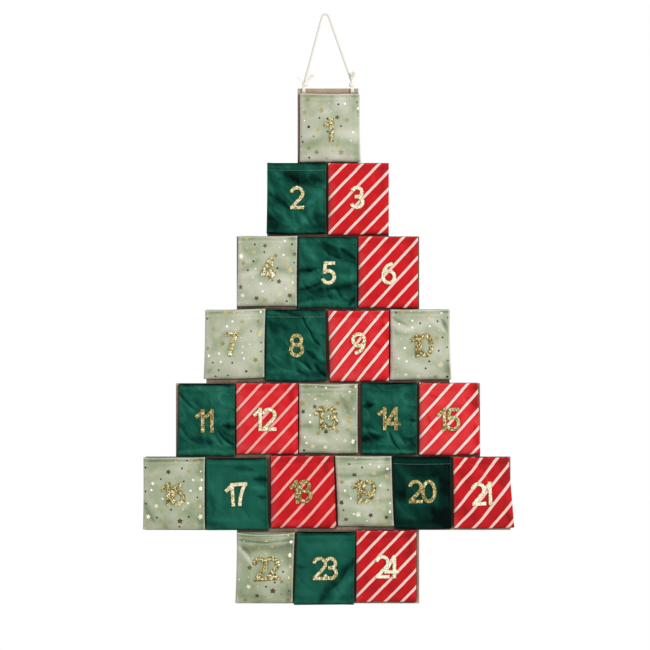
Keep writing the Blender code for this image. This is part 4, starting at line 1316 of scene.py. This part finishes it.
@dataclass
class Pouch:
    """One sewn bag: a lofted shell, full and sagging in front, flat against the board behind."""

    number: int
    wall: float = 0.5 * MM
    least_depth: float = 0.9 * MM
    side_depth: float = 1.5 * MM
    back_gap: float = 0.25 * MM
    seam_depth: float = 3.0 * MM
    mouth_depth: float = 8.5 * MM
    full_depth: float = 16.0 * MM
    full_at: float = 0.72
    plate_depths: tuple[float, float] = (12.0, 4.0)
    plate_span: tuple[float, float] = (0.30, 0.42)
    plate_fade: tuple[float, float] = (1 * MM, 5 * MM)
    hem: float = 11.5 * MM
    hem_inset: float = 1.2 * MM
    hem_relief: float = 0.35 * MM
    lip_height: float = 0.5 * MM
    lip_wave: float = 0.5 * MM
    usual_sag: float = 0.8
    side_pull: float = 0.6 * MM
    side_groove: float = 0.6 * MM
    foot_wave_height: float = 0.5 * MM
    foot_reach: float = 6 * MM
    corner_lift: float = 1.2 * MM
    corner_reach: float = 4 * MM
    row_step: float = 1.55 * MM
    ripple_count: int = 7
    ripple_height: float = 1.6
    inside_painted_shade: float = -0.7
    back_painted_shade: float = -0.15
    corners: np.ndarray = field(init=False)
    ripples: list[tuple] = field(init=False)
    plate: tuple[float, float, float, float] = field(init=False)

    def __post_init__(self) -> None:
        """Reads the back's corners from the CAD node, and sets what belongs to this pouch alone."""
        mesh = frame["nodes"][self.name].data
        points = np.empty(len(mesh.vertices) * 3)
        mesh.vertices.foreach_get("co", points)
        points = points.reshape(-1, 3)
        back = points[points[:, 1] > points[:, 1].max() - 0.1 * MM]
        x, z = back[:, 0], back[:, 2]
        picks = (np.argmax(z - x), np.argmax(z + x), np.argmin(z + x), np.argmin(z - x))
        self.corners = back[list(picks)][:, (0, 2)]
        self.back = float(points[:, 1].max())
        self.width = float(self.corners[1, 0] - self.corners[0, 0])
        self.length = float(self.corners[0, 1] - self.corners[2, 1])
        rng = np.random.default_rng(400 + self.number)
        self.ripples = [
            (rng.uniform(0.06, 0.16), *(TURN / rng.uniform(22, 48, 2)), rng.uniform(0, 7), rng.choice((-1, 1)))
            for _ in range(self.ripple_count)
        ]
        self.foot_wave = FOOT_WAVES.get(self.number, self.number)
        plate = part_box(f"number_{self.number:02d}")
        self.plate = (plate[0].x, plate[1].x, plate[0].z, plate[1].z)

    @property
    def name(self) -> str:
        """The pouch's CAD node and body."""
        return f"pouch_{self.number:02d}"

    @property
    def cloth(self) -> Cloth:
        """The cloth that it is sewn from."""
        return cloth_of(self.number)

    def spread(self, u: np.ndarray, v: np.ndarray) -> tuple[np.ndarray, np.ndarray]:
        """Places shares of the width and length between the four corners.

        Args:
            u: from 0 at the left side to 1 at the right.
            v: from 0 at the mouth to 1 at the bottom.

        Returns:
            Across and up, in metres.
        """
        left = self.corners[0][:, None] * (1 - v.ravel()) + self.corners[2][:, None] * v.ravel()
        right = self.corners[1][:, None] * (1 - v.ravel()) + self.corners[3][:, None] * v.ravel()
        flat = left * (1 - u.ravel()) + right * u.ravel()
        return flat[0].reshape(v.shape), flat[1].reshape(v.shape)

    def relief(self, u: np.ndarray, v: np.ndarray) -> tuple[np.ndarray, np.ndarray]:
        """Sums the folds, creases and ripples of the front.

        Args:
            u: shares of the width.
            v: shares of the length.

        Returns:
            How far the cloth rises, in metres, and its painted light and shade.
        """
        x, y = u * self.width / MM, v * self.length / MM
        # Each pouch's cloth starts from its own painted shading as a whole
        rise, tone = np.zeros_like(x), np.full_like(x, POUCH_SHADING.get(self.number, 0) / 100)
        # Each fold paints light and shade along its crest, and the opposite on its flank
        for row in FOLDS.get(self.number, ()):
            fold = Fold(*(value / unit for value, unit in zip(row, FOLD_UNITS)))
            crest, flank = fold.reach(x, y, self.width / MM, self.length / MM)
            rise += fold.rise * crest
            tone += fold.tone * (crest - 0.4 * flank)
        for size, wide, high, phase, way in self.ripples:
            wave = np.sin(wide * x + way * high * y + phase)
            rise += RIPPLES[self.cloth] * self.ripple_height * size * wave
        spans = {Edge.LEFT: x, Edge.RIGHT: (1 - u) * self.width / MM, Edge.TOP: y}
        spans[Edge.BOTTOM] = (1 - v) * self.length / MM
        # The seams pucker the cloth beside them
        side = np.minimum(u, 1 - u) * self.width / MM
        puckers = ((0.22, y, 6.3, 17, side), (0.18, x, 7.1, 15, spans[Edge.BOTTOM]))
        for depth, place, wave, sway, away in puckers:
            phase = 2.0 * np.sin(place / sway + self.number)
            rise += depth * np.sin(TURN * place / wave + phase) * np.exp(-away / 5.0)
        # Painted light and shade in bands along the edges
        for edge, bands in EDGE_SHADING[self.cloth].items():
            for middle, wide, light in bands:
                tone += light * bump(spans[edge], middle, wide)
        return rise * MM, tone

    def near_plate(self, x: np.ndarray, z: np.ndarray) -> np.ndarray:
        """Says how much of the number's plate lies over a place, fading beside it.

        Args:
            x: places across, in metres.
            z: places up, in metres.

        Returns:
            From 0 to 1.
        """
        left, right, low, high = self.plate
        out = np.maximum(np.maximum(left - x, x - right), np.maximum(low - z, z - high))
        margin, reach = self.plate_fade
        return fade(out - margin, reach)

    def depth(self, v: np.ndarray) -> np.ndarray:
        """Gives the front's fullness down the pouch: it fills towards the bottom, as a sagging bag does.

        Args:
            v: shares of the length.

        Returns:
            How far it stands out from the back, in metres.
        """
        filled = (np.clip(v, 0, self.full_at) / self.full_at) ** 0.9
        upper = self.mouth_depth + (self.full_depth - self.mouth_depth) * filled
        fall = np.clip((v - self.full_at) / (1 - self.full_at), 0, 1)
        lower = self.seam_depth + (self.full_depth - self.seam_depth) * np.clip(1 - fall**2.2, 0, 1) ** 0.7
        return np.where(v < self.full_at, upper, lower)

    def plate_plane(self, v: np.ndarray) -> np.ndarray:
        """Returns the even slope behind the number, as a depth in metres."""
        (start, more), (place, run) = self.plate_depths, self.plate_span
        return (start + more * (v - place) / run) * MM

    def pull(self, x: np.ndarray, z: np.ndarray, a: np.ndarray, v: np.ndarray) -> tuple[np.ndarray, np.ndarray]:
        """Pulls the sides in and waves the foot, as the seams do to both panels.

        Args:
            x: places across, in metres.
            z: places up, in metres.
            a: how far they are from the middle, from -1 to 1.
            v: shares of the length.

        Returns:
            The places across and up.
        """
        x = x - self.side_pull * a**3 * np.sin(math.pi * np.clip(v, 0, 1)) * PINCHES[self.cloth]
        low = fade((1 - v) * self.length, self.foot_reach)
        return x, z - self.foot_wave_height * low * np.sin(2.6 * a + self.foot_wave)

    def front(self, u: np.ndarray, v: np.ndarray) -> tuple[np.ndarray, np.ndarray]:
        """Lays the front panel.

        Args:
            u: shares of the width.
            v: shares of the length.

        Returns:
            The points, and the painted light and shade of the cloth there.
        """
        x, z = self.spread(u, v)
        a = 2 * u - 1
        down, up = v * self.length, (1 - v) * self.length
        # The bag stands out but for its sides, and its folds fade at the foot's seam and behind the number
        full = np.clip(1 - np.abs(a) ** 7, 0, 1) ** 0.5
        rise, tone = self.relief(u, v)
        plate = self.near_plate(x, z)
        body = self.seam_depth + (self.depth(v) - self.seam_depth) * full
        loose = np.clip(up / (4 * MM), 0.15, 1)
        y = body + rise * (0.15 + 0.85 * full) * (1 - 0.9 * plate) * loose
        y = np.where(plate > 0, np.minimum(y, self.plate_plane(v) + (1 - plate) * 3 * MM + 0.05 * MM), y)
        # The turned-in hem is thicker, and its stitches pull a groove
        y += self.hem_relief * np.clip((self.hem + 0.3 * MM - down) / (0.6 * MM), 0, 1) * full
        y -= self.hem_relief * bump(down, self.hem, 0.7 * MM) * full
        # The lip waves and sags, and the foot's corners turn up
        z = z + self.lip_wave * np.sin(7 * u + self.number) * np.sin(3 * u + 1) * fade(down, 20 * MM)
        sag = LIP_SAGS.get(self.number, self.usual_sag) * MM
        z = z - sag * (1 - a**2) * fade(down, 24 * MM) ** 2
        beyond = np.abs(a) * self.width / 2 - (self.width / 2 - self.corner_reach)
        corner = np.clip(beyond / self.corner_reach, 0, 1)
        z = z + self.corner_lift * fade(up, self.foot_reach) * corner**2
        x, z = self.pull(x, z, a, v)
        return np.stack((x, self.back - np.maximum(y, self.least_depth), z), axis=-1), tone * (1 - 0.5 * plate)

    def rows(self) -> tuple[np.ndarray, np.ndarray, np.ndarray]:
        """Lists the bag's rows of points: up the inside of the hem, over the lip, and down the outside.

        Returns:
            How far down each row is, how far inside the bag, and how far above the lip, in metres.
        """
        fine = np.array(STITCH_ROWS) * MM / self.length
        even = np.linspace(0, 1, round(self.length / self.row_step) + 1)
        even = even[np.abs(even[:, None] - fine).min(1) > 0.4 * MM / self.length]
        last = [1 - up * MM / self.length for up in FOOT_ROWS]
        inner = [(down * MM, self.hem_inset, 0.0) for down in HEM_INSIDE]
        half = self.hem_inset / 2
        lip = [(0.3 * MM, half * (1 + math.cos(p)), self.lip_height * math.sin(p)) for p in LIP_ANGLES]
        outer = [(v * self.length, 0.0, 0.0) for v in np.sort(np.concatenate((even, fine, last)))]
        down, inset, lift = np.array([*inner, *lip, *outer]).T[:, :, None]
        return down, inset, lift

    def mesh(self) -> Mesh:
        """Lofts the bag: the turned-in hem, over the lip, down the outside, and the bottom seam."""
        down, inset, lift = self.rows()
        middle = self.corners[:, 0].mean()
        squeeze = 1 - (inset + 0.3 * MM) / (self.width / 2)
        # The front, with a groove where it meets the back
        u_front = np.concatenate((SIDE_COLUMNS, np.linspace(0.13, 0.87, 49), 1 - SIDE_COLUMNS[::-1]))
        v = np.broadcast_to(down / self.length, (len(down), len(u_front)))
        points, tone = self.front(np.broadcast_to(u_front, v.shape), v)
        points[..., 1] = np.minimum(points[..., 1] + inset, self.back - self.side_depth)
        points[:, [0, -1], 1] = self.back - self.side_depth
        groove = np.zeros_like(u_front)
        groove[[0, -1]] = self.side_groove
        x = points[..., 0]
        x = np.where(inset > 0, middle + (x - middle) * squeeze, x)
        points[..., 0] = x + np.sign(middle - x) * groove
        points[..., 2] += lift
        # The back
        v = np.broadcast_to(down / self.length, (len(down), len(BACK_COLUMNS)))
        x, z = self.spread(np.broadcast_to(BACK_COLUMNS, v.shape), v)
        x = np.where(inset > 0, middle + (x - middle) * squeeze, x)
        x, z = self.pull(x, z, 2 * BACK_COLUMNS - 1, v)
        y = np.broadcast_to(self.back - self.back_gap - inset, x.shape)
        behind = np.stack((x, y, z + lift), axis=-1)
        # The hem's inside and the back are painted darker: painted shade
        shade = np.where(inset > 0, self.inside_painted_shade, 0.0)
        tone = np.concatenate((tone + shade, np.broadcast_to(self.back_painted_shade + shade, x.shape)), axis=1)
        flat_u = np.concatenate((u_front, 2 - BACK_COLUMNS)) * self.width
        turned = np.arange(len(down)) < len(HEM_INSIDE) + len(LIP_ANGLES) // 2
        flat_v = np.where(turned, -down[:, 0], down[:, 0])
        return self.sew(np.concatenate((points, behind), axis=1), tone, flat_u, flat_v)

    def sew(self, grid: np.ndarray, tone: np.ndarray, flat_u: np.ndarray, flat_v: np.ndarray) -> Mesh:
        """Joins the rows of points into one mesh, with its painted light and shade and its flat cloth map.

        Args:
            grid: the points, a row for each height and a column for each place round the bag.
            tone: the painted light and shade of the cloth at each.
            flat_u: each column's place across the flat cloth.
            flat_v: each row's place down the flat cloth.

        Returns:
            The mesh.
        """
        rows, columns = grid.shape[:2]
        work = np.arange(rows * columns).reshape(rows, columns)
        ahead = np.roll(work, -1, axis=1)
        quads = np.stack((work[:-1], work[1:], ahead[1:], ahead[:-1]), axis=-1).reshape(-1, 4)
        faces = [*(tuple(q) for q in quads.tolist()), tuple(work[-1][::-1].tolist())]
        mesh = bpy.data.meshes.new(self.name)
        mesh.from_pydata(grid.reshape(-1, 3).tolist(), [], faces)
        mesh.polygons.foreach_set("use_smooth", [True] * len(faces))
        set_values(mesh, "tone", tone)
        corner = np.empty(len(mesh.loops), np.int32)
        mesh.loops.foreach_get("vertex_index", corner)
        u, v = np.tile(flat_u, rows)[corner], np.repeat(flat_v, columns)[corner]
        # The last column's quads end where the flat cloth does, and not at its start
        closing = 4 * columns * np.arange(1, rows) - 4
        u[closing + 2] = u[closing + 3] = 2 * self.width
        if self.number in STRIPES:
            u, v = self.cross(STRIPES[self.number], u, v)
        layer = mesh.uv_layers.new(name="cloth")
        layer.data.foreach_set("uv", np.stack((u, v), axis=-1).ravel().astype(np.float32))
        mesh.update()
        return mesh

    def cross(self, stripes: Stripes, u: np.ndarray, v: np.ndarray) -> tuple[np.ndarray, np.ndarray]:
        """Turns places on the flat cloth so that the first axis lies across its stripes, which waver.

        Args:
            stripes: how they lie.
            u: places across the flat cloth.
            v: places down the flat cloth.

        Returns:
            Across the stripes and along them, in metres.
        """
        lean = math.radians(stripes.slope)
        phases = np.random.default_rng(60 + self.number).uniform(0, 7, 3)
        sway = np.sin(v / (11 * MM) + phases[0] + 1.3 * np.sin(u / (14 * MM) + phases[1]))
        sway = sway + 0.5 * np.sin(u / (8 * MM) + phases[2])
        hem = 0.5 * np.clip((self.hem - v) / (1 * MM), 0, 1)
        u = u + (stripes.waver * sway + hem) * MM
        du = u - (stripes.across * MM - self.corners[0, 0])
        dv = -v - (stripes.up * MM - self.corners[0, 1])
        return du * math.sin(lean) - dv * math.cos(lean), du * math.cos(lean) + dv * math.sin(lean)

    def finish(self) -> Finish:
        """Returns the finish of this pouch's cloth."""
        if self.number in PINK_STRIPED_POUCHES:
            return PINK_STRIPED
        return SMOOTH_VELVET if self.number in SMOOTH_POUCHES else FINISHES[self.cloth]

    def build(self, stitches: "HemStitches", foil: "FoilMarks") -> None:
        """Args:
            stitches: what sews the hem.
            foil: what stamps the marks.
        """
        bag = settle(f"cloth_{self.name}", self.mesh(), self.name, self.finish(), self.cloth.value)
        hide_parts(self.name)
        wall = bag.modifiers.new("cloth", "SOLIDIFY")
        wall.thickness = self.wall
        wall.offset = -1.0
        with_pieces = [stitches.sew(self)]
        if self.cloth is Cloth.SAGE_SATIN:
            with_pieces.append(foil.stamp(self, bag))


@dataclass
class HemStitches:
    """The row of machine stitches that holds each pouch's hem."""

    spacing: float = 3.2 * MM
    length: float = 2.4 * MM
    radius: float = 0.32 * MM
    sunk: float = 0.05 * MM
    span: tuple[float, float] = (0.02, 0.98)
    points: int = 60
    tree: Tree = field(init=False)

    def __post_init__(self) -> None:
        """Builds the tree that lays a stitch at even steps along a line."""
        sizes = {"Spacing": self.spacing, "Length": self.length, "Radius": self.radius}
        self.tree = t = Tree("hem_stitches", sizes)
        even = t.even_line("Spacing")
        tangent = t.add("GeometryNodeInputTangent")
        turn = t.add("FunctionNodeAlignRotationToVector", {"Vector": tangent}, axis="X")
        ball = t.add("GeometryNodeMeshIcoSphere", {"Radius": 1.0, "Subdivisions": 1})
        half = t.add("ShaderNodeMath", {0: t.size("Length"), 1: 0.5}, operation="MULTIPLY")
        size = t.add("ShaderNodeCombineXYZ", {0: half, 1: t.size("Radius"), 2: t.size("Radius")})
        stitch = {"Points": even, "Instance": ball, "Rotation": turn, "Scale": size}
        t.close(t.add("GeometryNodeInstanceOnPoints", stitch))

    def sew(self, pouch: Pouch) -> Object:
        """Sews one pouch's hem.

        Args:
            pouch: the pouch.

        Returns:
            The piece of its stitches.
        """
        u = np.linspace(*self.span, self.points)
        points, _ = pouch.front(u, np.full_like(u, pouch.hem / pouch.length))
        points[:, 1] -= self.sunk
        name = f"hem_stitches_{pouch.number:02d}"
        thread = PALE_THREAD if pouch.number in PALE_THREADS else THREADS[pouch.cloth]
        mesh = self.tree.grow(name, line_mesh(f"{name}_line", [[Vector(p) for p in points]]), thread)
        return settle(name, mesh, pouch.name, slot=pouch.cloth.value)


@dataclass
class FoilMarks:
    """The stars and dots stamped on the satin, each draped on the cloth under it.

    The small faint ones fill the bare cloth between the known ones, at least the spacing apart.
    """

    spacing: float = 12.5 * MM
    lift: float = 0.14 * MM
    inner_radius: float = 0.55
    tries: int = 1500
    faint: tuple[Mark, ...] = (Mark.FAINT_STAR, Mark.FAINT_DOT, Mark.SMALL_PALE_DOT)
    tree: Tree = field(init=False)

    def __post_init__(self) -> None:
        """Builds the tree that lays a star or a dot on each point and drapes it on the cloth."""
        self.tree = t = Tree("foil_marks", {"Lift": self.lift}, ("Cloth",))
        info = t.add("GeometryNodeObjectInfo", {"Object": t.size("Cloth")}, transform_space="ORIGINAL")
        cloth = info.outputs["Geometry"]
        facing = t.add("GeometryNodeInputNormal")
        here = t.add("GeometryNodeInputPosition")
        asked = {"Mesh": cloth, "Value": facing, "Sample Position": here}
        found = t.add("GeometryNodeSampleNearestSurface", asked, data_type="FLOAT_VECTOR")
        normal = found.outputs["Value"]
        named = {
            key: t.add("GeometryNodeInputNamedAttribute", {"Name": key}).outputs["Attribute"]
            for key in ("star", "size", "spin")
        }
        stand = t.add("FunctionNodeAlignRotationToVector", {"Vector": normal}, axis="Z")
        spin = t.add("FunctionNodeAxisAngleToRotation", {"Axis": (0.0, 0.0, 1.0), "Angle": named["spin"]})
        turn = t.add("FunctionNodeRotateRotation", {0: stand, 1: spin}, rotation_space="LOCAL")
        points = {"Points": 5, "Inner Radius": self.inner_radius, "Outer Radius": 1.0}
        star = t.add("GeometryNodeFillCurve", {"Curve": t.add("GeometryNodeCurveStar", points)}, mode="NGONS")
        dot = t.add("GeometryNodeMeshCircle", {"Vertices": 8, "Radius": 1.0}, fill_type="NGON")
        both = t.add("GeometryNodeJoinGeometry")
        for flat, level, wanted in ((star, 2, 1.0), (dot, 1, 0.0)):
            shape = t.add("GeometryNodeSubdivideMesh", {"Mesh": flat, "Level": level})
            same = {0: named["star"], 1: wanted, "Epsilon": 0.1}
            chosen = t.add("FunctionNodeCompare", same, operation="EQUAL")
            placed = {"Points": t.size("Geometry"), "Selection": chosen, "Instance": shape}
            placed |= {"Rotation": turn, "Scale": named["size"]}
            feed(t.nodes, both, {0: t.add("GeometryNodeInstanceOnPoints", placed)})
        real = t.add("GeometryNodeRealizeInstances", {"Geometry": both})
        asked = {"Mesh": cloth, "Value": here, "Sample Position": here}
        spot = t.add("GeometryNodeSampleNearestSurface", asked, data_type="FLOAT_VECTOR").outputs["Value"]
        above = t.add("ShaderNodeVectorMath", {0: normal, "Scale": t.size("Lift")}, operation="SCALE")
        draped = t.add("ShaderNodeVectorMath", {0: spot, 1: above})
        t.close(t.add("GeometryNodeSetPosition", {"Geometry": real, "Position": draped}), smooth=False)

    def scatter(self, pouch: Pouch) -> tuple[list[float], list[float], list[tuple]]:
        """Places the known marks, and fills the bare cloth between them with seeded ones.

        Args:
            pouch: the pouch.

        Returns:
            Shares of the width and of the length, and for each mark whether it is a star, its radius and its shade,
            a painted reflection.
        """
        rng = np.random.default_rng(70 + pouch.number)
        us, vs, looks = [], [], []
        for kind, places in MARKS.get(pouch.number, {}).items():
            star, shade, radius = kind.value
            for u, v, *larger in places:
                us.append(u / 100)
                vs.append(v / 100)
                size = radius * rng.uniform(0.88, 1.08) * (larger[0] if larger else 1.0) * MM
                looks.append((star, size, shade + rng.uniform(-0.08, 0.08)))
        for _ in range(self.tries):
            u, v = rng.uniform(0.03, 0.97), rng.uniform(0.02, 0.97)
            gap = min(math.hypot((u - a) * pouch.width, (v - b) * pouch.length) for a, b in zip(us, vs))
            if gap > self.spacing:
                star, shade, radius = self.faint[rng.integers(len(self.faint))].value
                us.append(u)
                vs.append(v)
                looks.append((star, radius * rng.uniform(0.7, 0.95) * MM, shade))
        return us, vs, looks

    def stamp(self, pouch: Pouch, bag: Object) -> Object:
        """Stamps one pouch.

        Args:
            pouch: the pouch.
            bag: its cloth.

        Returns:
            The piece of its marks.
        """
        us, vs, looks = self.scatter(pouch)
        points, _ = pouch.front(np.array(us), np.array(vs))
        name = f"foil_marks_{pouch.number:02d}"
        mesh = bpy.data.meshes.new(name)
        mesh.from_pydata(points.tolist(), [], [])
        star, size, shade = np.array(looks, float).T
        spin = np.random.default_rng(90 + pouch.number).uniform(0, TURN, len(looks))
        for key, values in (("star", star), ("size", size), ("shade", shade), ("spin", spin)):
            set_values(mesh, key, values)
        made = self.tree.grow(name, mesh, FOIL, {"Cloth": bag})
        return settle(name, made, pouch.name, slot=pouch.cloth.value)


# ---- numbers


@dataclass
class GlitterNumbers:
    """The numbers, whose CAD shapes stay: each gets its glitter sheet, and its flakes lie on its face.

    Those on satin have coarser flakes, which stand out over the cut edge. A number with many pale flakes has
    the pale sheet.
    """

    gap: float = 0.76 * MM
    radius: float = 0.62 * MM
    tilt: float = 0.36
    edge: float = 0.6 * MM
    coarse_radius: float = 0.84 * MM
    coarse_edge: float = 0.05 * MM
    lift: float = 0.25 * MM
    most: float = 2.0e6
    pale_from: float = 0.75
    usual_share: float = 0.35
    patch_scale: float = 300.0
    patch_strength: float = 2.8
    tree: Tree = field(init=False)

    def __post_init__(self) -> None:
        """Builds the tree that strews flat hexagons over a face, each at its own tilt and glint."""
        sizes = {"Gap": self.gap, "Radius": self.radius, "Tilt": self.tilt, "Edge": self.edge}
        self.tree = t = Tree("glitter_flakes", {**sizes, "Glint": 1.0, "Seed": 1})
        face, seed, tilt = t.size("Geometry"), t.size("Seed"), t.size("Tilt")
        spacing = {"Mesh": face, "Distance Min": t.size("Gap"), "Density Max": self.most, "Seed": seed}
        strewn = t.add("GeometryNodeDistributePointsOnFaces", spacing, distribute_method="POISSON")
        # None lies nearer to the outline than the edge says, which leaves the dark sheet bare along it: a dark rim
        # that stands partly for painted shade at the cut edge
        faces = t.add("GeometryNodeInputMeshEdgeNeighbors")
        rim = t.add("FunctionNodeCompare", {2: faces, 3: 1}, data_type="INT", operation="NOT_EQUAL")
        outline = t.add("GeometryNodeDeleteGeometry", {0: face, 1: rim}, domain="EDGE", mode="EDGE_FACE")
        near = t.add("GeometryNodeProximity", {0: outline}, target_element="EDGES").outputs["Distance"]
        less = {0: near, 1: t.size("Edge")}
        over = t.add("FunctionNodeCompare", less, operation="LESS_THAN")
        kept = t.add("GeometryNodeDeleteGeometry", {0: strewn.outputs["Points"], 1: over}, domain="POINT")
        # Each leans at random, up to the tilt, and is turned at random
        back = t.add("ShaderNodeMath", {0: tilt, 1: -1.0}, operation="MULTIPLY")
        low = t.add("ShaderNodeCombineXYZ", {0: back, 1: back, 2: -3.0})
        high = t.add("ShaderNodeCombineXYZ", {0: tilt, 1: tilt, 2: 3.0})
        between = {"Min": low, "Max": high, "Seed": seed}
        lean = t.add("FunctionNodeRandomValue", between, data_type="FLOAT_VECTOR")
        euler = t.add("FunctionNodeEulerToRotation", {0: lean})
        turned = {0: strewn.outputs["Rotation"], 1: euler}
        turn = t.add("FunctionNodeRotateRotation", turned, rotation_space="LOCAL")
        flake = t.add("GeometryNodeMeshCircle", {"Vertices": 6, "Radius": t.size("Radius")}, fill_type="NGON")
        laid = t.add("GeometryNodeInstanceOnPoints", {"Points": kept, "Instance": flake, "Rotation": turn})
        chance = t.add("FunctionNodeRandomValue", {2: 0.0, 3: 1.0, "Seed": 7}).outputs[1]
        # Painted glints: flakes that lie alike are painted to catch the light together, in patches of 3 mm
        clouds = {"W": seed, "Scale": self.patch_scale, "Detail": 1.0}
        own = t.add("ShaderNodeTexNoise", clouds, noise_dimensions="4D")
        strong = {0: own, 1: self.patch_strength, 2: -self.patch_strength / 2}
        patch = t.add("ShaderNodeMath", strong, operation="MULTIPLY_ADD")
        single = t.add("ShaderNodeMath", {0: chance, 1: 0.7, 2: patch}, operation="MULTIPLY_ADD")
        shifted = t.add("ShaderNodeMath", {0: single, 1: t.size("Glint")})
        glint = t.add("ShaderNodeClamp", {0: shifted})
        marked = {"Geometry": laid, "Name": "glint", "Value": glint}
        t.close(t.add("GeometryNodeStoreNamedAttribute", marked, domain="INSTANCE"), smooth=False)

    def face(self, node: Object) -> Mesh:
        """Copies a number's front face, merged.

        Args:
            node: the number's CAD node.

        Returns:
            The mesh of its front.
        """
        work = bmesh.new()
        work.from_mesh(node.data)
        bmesh.ops.remove_doubles(work, verts=work.verts, dist=1e-6)
        bmesh.ops.delete(work, geom=[f for f in work.faces if f.normal.y > -0.9], context="FACES")
        bmesh.ops.translate(work, verts=work.verts, vec=(0.0, -self.lift, 0.0))
        mesh = bpy.data.meshes.new(f"{node.name}_face")
        work.to_mesh(mesh)
        work.free()
        return mesh

    def build(self, number: int) -> None:
        """Finishes one number.

        Args:
            number: from 1 to 24.
        """
        node = frame["nodes"][f"number_{number:02d}"]
        pale = PALE_SHARES[number] / 100
        sheet = PALE_SHEET if pale > self.pale_from else GOLD_SHEET
        node.data.materials.clear()
        node.data.materials.append(sheet.material())
        values = {"Glint": pale - self.usual_share, "Seed": number}
        if cloth_of(number) is Cloth.SAGE_SATIN:
            values |= {"Radius": self.coarse_radius, "Edge": self.coarse_edge}
        name = f"glitter_{number:02d}"
        mesh = self.tree.grow(name, self.face(node), FLAKES, values)
        settle(name, mesh, f"pouch_{number:02d}", slot="gold_glitter")


# ---- studio


@dataclass
class Studio:
    """The camera, the soft light and the floor."""

    centre: Vector = Vector((-0.65 * MM, 0.0, -502 * MM))
    frame_width: float = 1.053
    distance: float = 6.0
    sensor: float = 36.0
    sky: float = 0.46
    white: tuple[float, float, float, float] = (1.0, 1.0, 1.0, 1.0)
    floor_colour: str = "#F4F3F1"
    floor_height: float = -1.25
    floor_reach: float = 2.3
    floor_fade: tuple[float, float] = (0.9, 2.2)
    floor_glow: float = 0.25
    floor_sides: int = 64

    def camera(self) -> None:
        """Looks straight at the board from far away, as the photograph does."""
        data = bpy.data.cameras.new("camera")
        data.sensor_width = self.sensor
        data.lens = self.sensor * self.distance / self.frame_width
        camera = bpy.data.objects.new("camera", data)
        camera.location = self.centre + Vector((0.0, -self.distance, 0.0))
        camera.rotation_euler = (math.radians(90), 0.0, 0.0)
        bpy.context.scene.collection.objects.link(camera)
        bpy.context.scene.camera = camera

    def lamp(self, name: str, place: tuple[float, float, float], size: float, power: float) -> None:
        """Adds a square soft lamp that looks at the board's middle.

        Args:
            name: the lamp's name.
            place: where it stands, from the board's middle.
            size: the length of its side, in metres.
            power: its power in watts.
        """
        data = bpy.data.lights.new(name, "AREA")
        data.size = size
        data.energy = power
        lamp = bpy.data.objects.new(name, data)
        lamp.location = self.centre + Vector(place)
        lamp.rotation_euler = Vector(place).to_track_quat("Z", "Y").to_euler()
        bpy.context.scene.collection.objects.link(lamp)

    def world(self) -> None:
        """Lights all round evenly; the camera and mirrors see plain white."""
        world = bpy.data.worlds.new("studio")
        bpy.context.scene.world = world
        world.use_nodes = True
        tree = world.node_tree
        ray = add(tree, "ShaderNodeLightPath")
        seen = ray.outputs["Is Camera Ray"]
        for other in ("Is Glossy Ray", "Is Transmission Ray"):
            seen = add(tree, "ShaderNodeMath", {0: seen, 1: ray.outputs[other]}, operation="MAXIMUM")
        strength = add(tree, "ShaderNodeMapRange", {0: seen, 1: 0.0, 2: 1.0, 3: self.sky, 4: 1.0})
        feed(tree, tree.nodes["Background"], {"Strength": strength, "Color": self.white})

    def floor(self) -> None:
        """Lays a pale floor that keeps the object's shadow and ends in the white around it."""
        mesh = bpy.data.meshes.new("floor")
        sides, reach = self.floor_sides, self.floor_reach
        turns = [TURN * k / sides for k in range(sides)]
        rim = [(reach * math.cos(a), reach * math.sin(a), self.floor_height) for a in turns]
        mesh.from_pydata(rim, [], [tuple(range(sides))])
        floor = bpy.data.objects.new("floor", mesh)
        bpy.context.scene.collection.objects.link(floor)
        material = bpy.data.materials.new("studio_floor")
        material.use_nodes = True
        tree = material.node_tree
        shader = tree.nodes["Principled BSDF"]
        feed(tree, shader, {"Base Color": linear(self.floor_colour), "Roughness": 0.9})
        white = add(tree, "ShaderNodeEmission", {"Color": self.white, "Strength": 1.0})
        place = add(tree, "ShaderNodeTexCoord").outputs["Object"]
        parts = add(tree, "ShaderNodeSeparateXYZ", {0: place}).outputs
        flat = add(tree, "ShaderNodeCombineXYZ", {0: parts["X"], 1: parts["Y"]})
        far = add(tree, "ShaderNodeVectorMath", {0: flat}, operation="LENGTH").outputs["Value"]
        near, end = self.floor_fade
        ring = {0: far, 1: near, 2: end, 3: self.floor_glow, 4: 1.0}
        glow = add(tree, "ShaderNodeMapRange", ring, interpolation_type="SMOOTHSTEP")
        mix = add(tree, "ShaderNodeMixShader", {0: glow, 1: shader, 2: white})
        feed(tree, tree.nodes["Material Output"], {"Surface": mix})
        mesh.materials.append(material)

    def build(self) -> None:
        """Sets up the studio."""
        bpy.context.scene.view_settings.view_transform = "Standard"
        self.camera()
        self.world()
        self.lamp("key_lamp", (3.0, -3.2, 1.5), 2.0, 131.0)
        self.lamp("fill_lamp", (-2.2, -2.6, 0.6), 2.0, 15.0)
        self.floor()


def write_sizes() -> None:
    """Updates the view layer."""
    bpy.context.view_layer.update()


def main() -> None:
    """Builds the studio and every piece, in order."""
    logging.basicConfig(level=logging.INFO, format="%(name)s: %(message)s")
    Studio().build()
    HangingCord().build()
    TreeBoard().build()
    stitches, foil, numbers = HemStitches(), FoilMarks(), GlitterNumbers()
    for number in range(1, POUCHES + 1):
        Pouch(number).build(stitches, foil)
        numbers.build(number)
        LOG.info("pouch %02d: sewn and numbered", number)
    write_sizes()


if __name__ == "__main__":
    main()
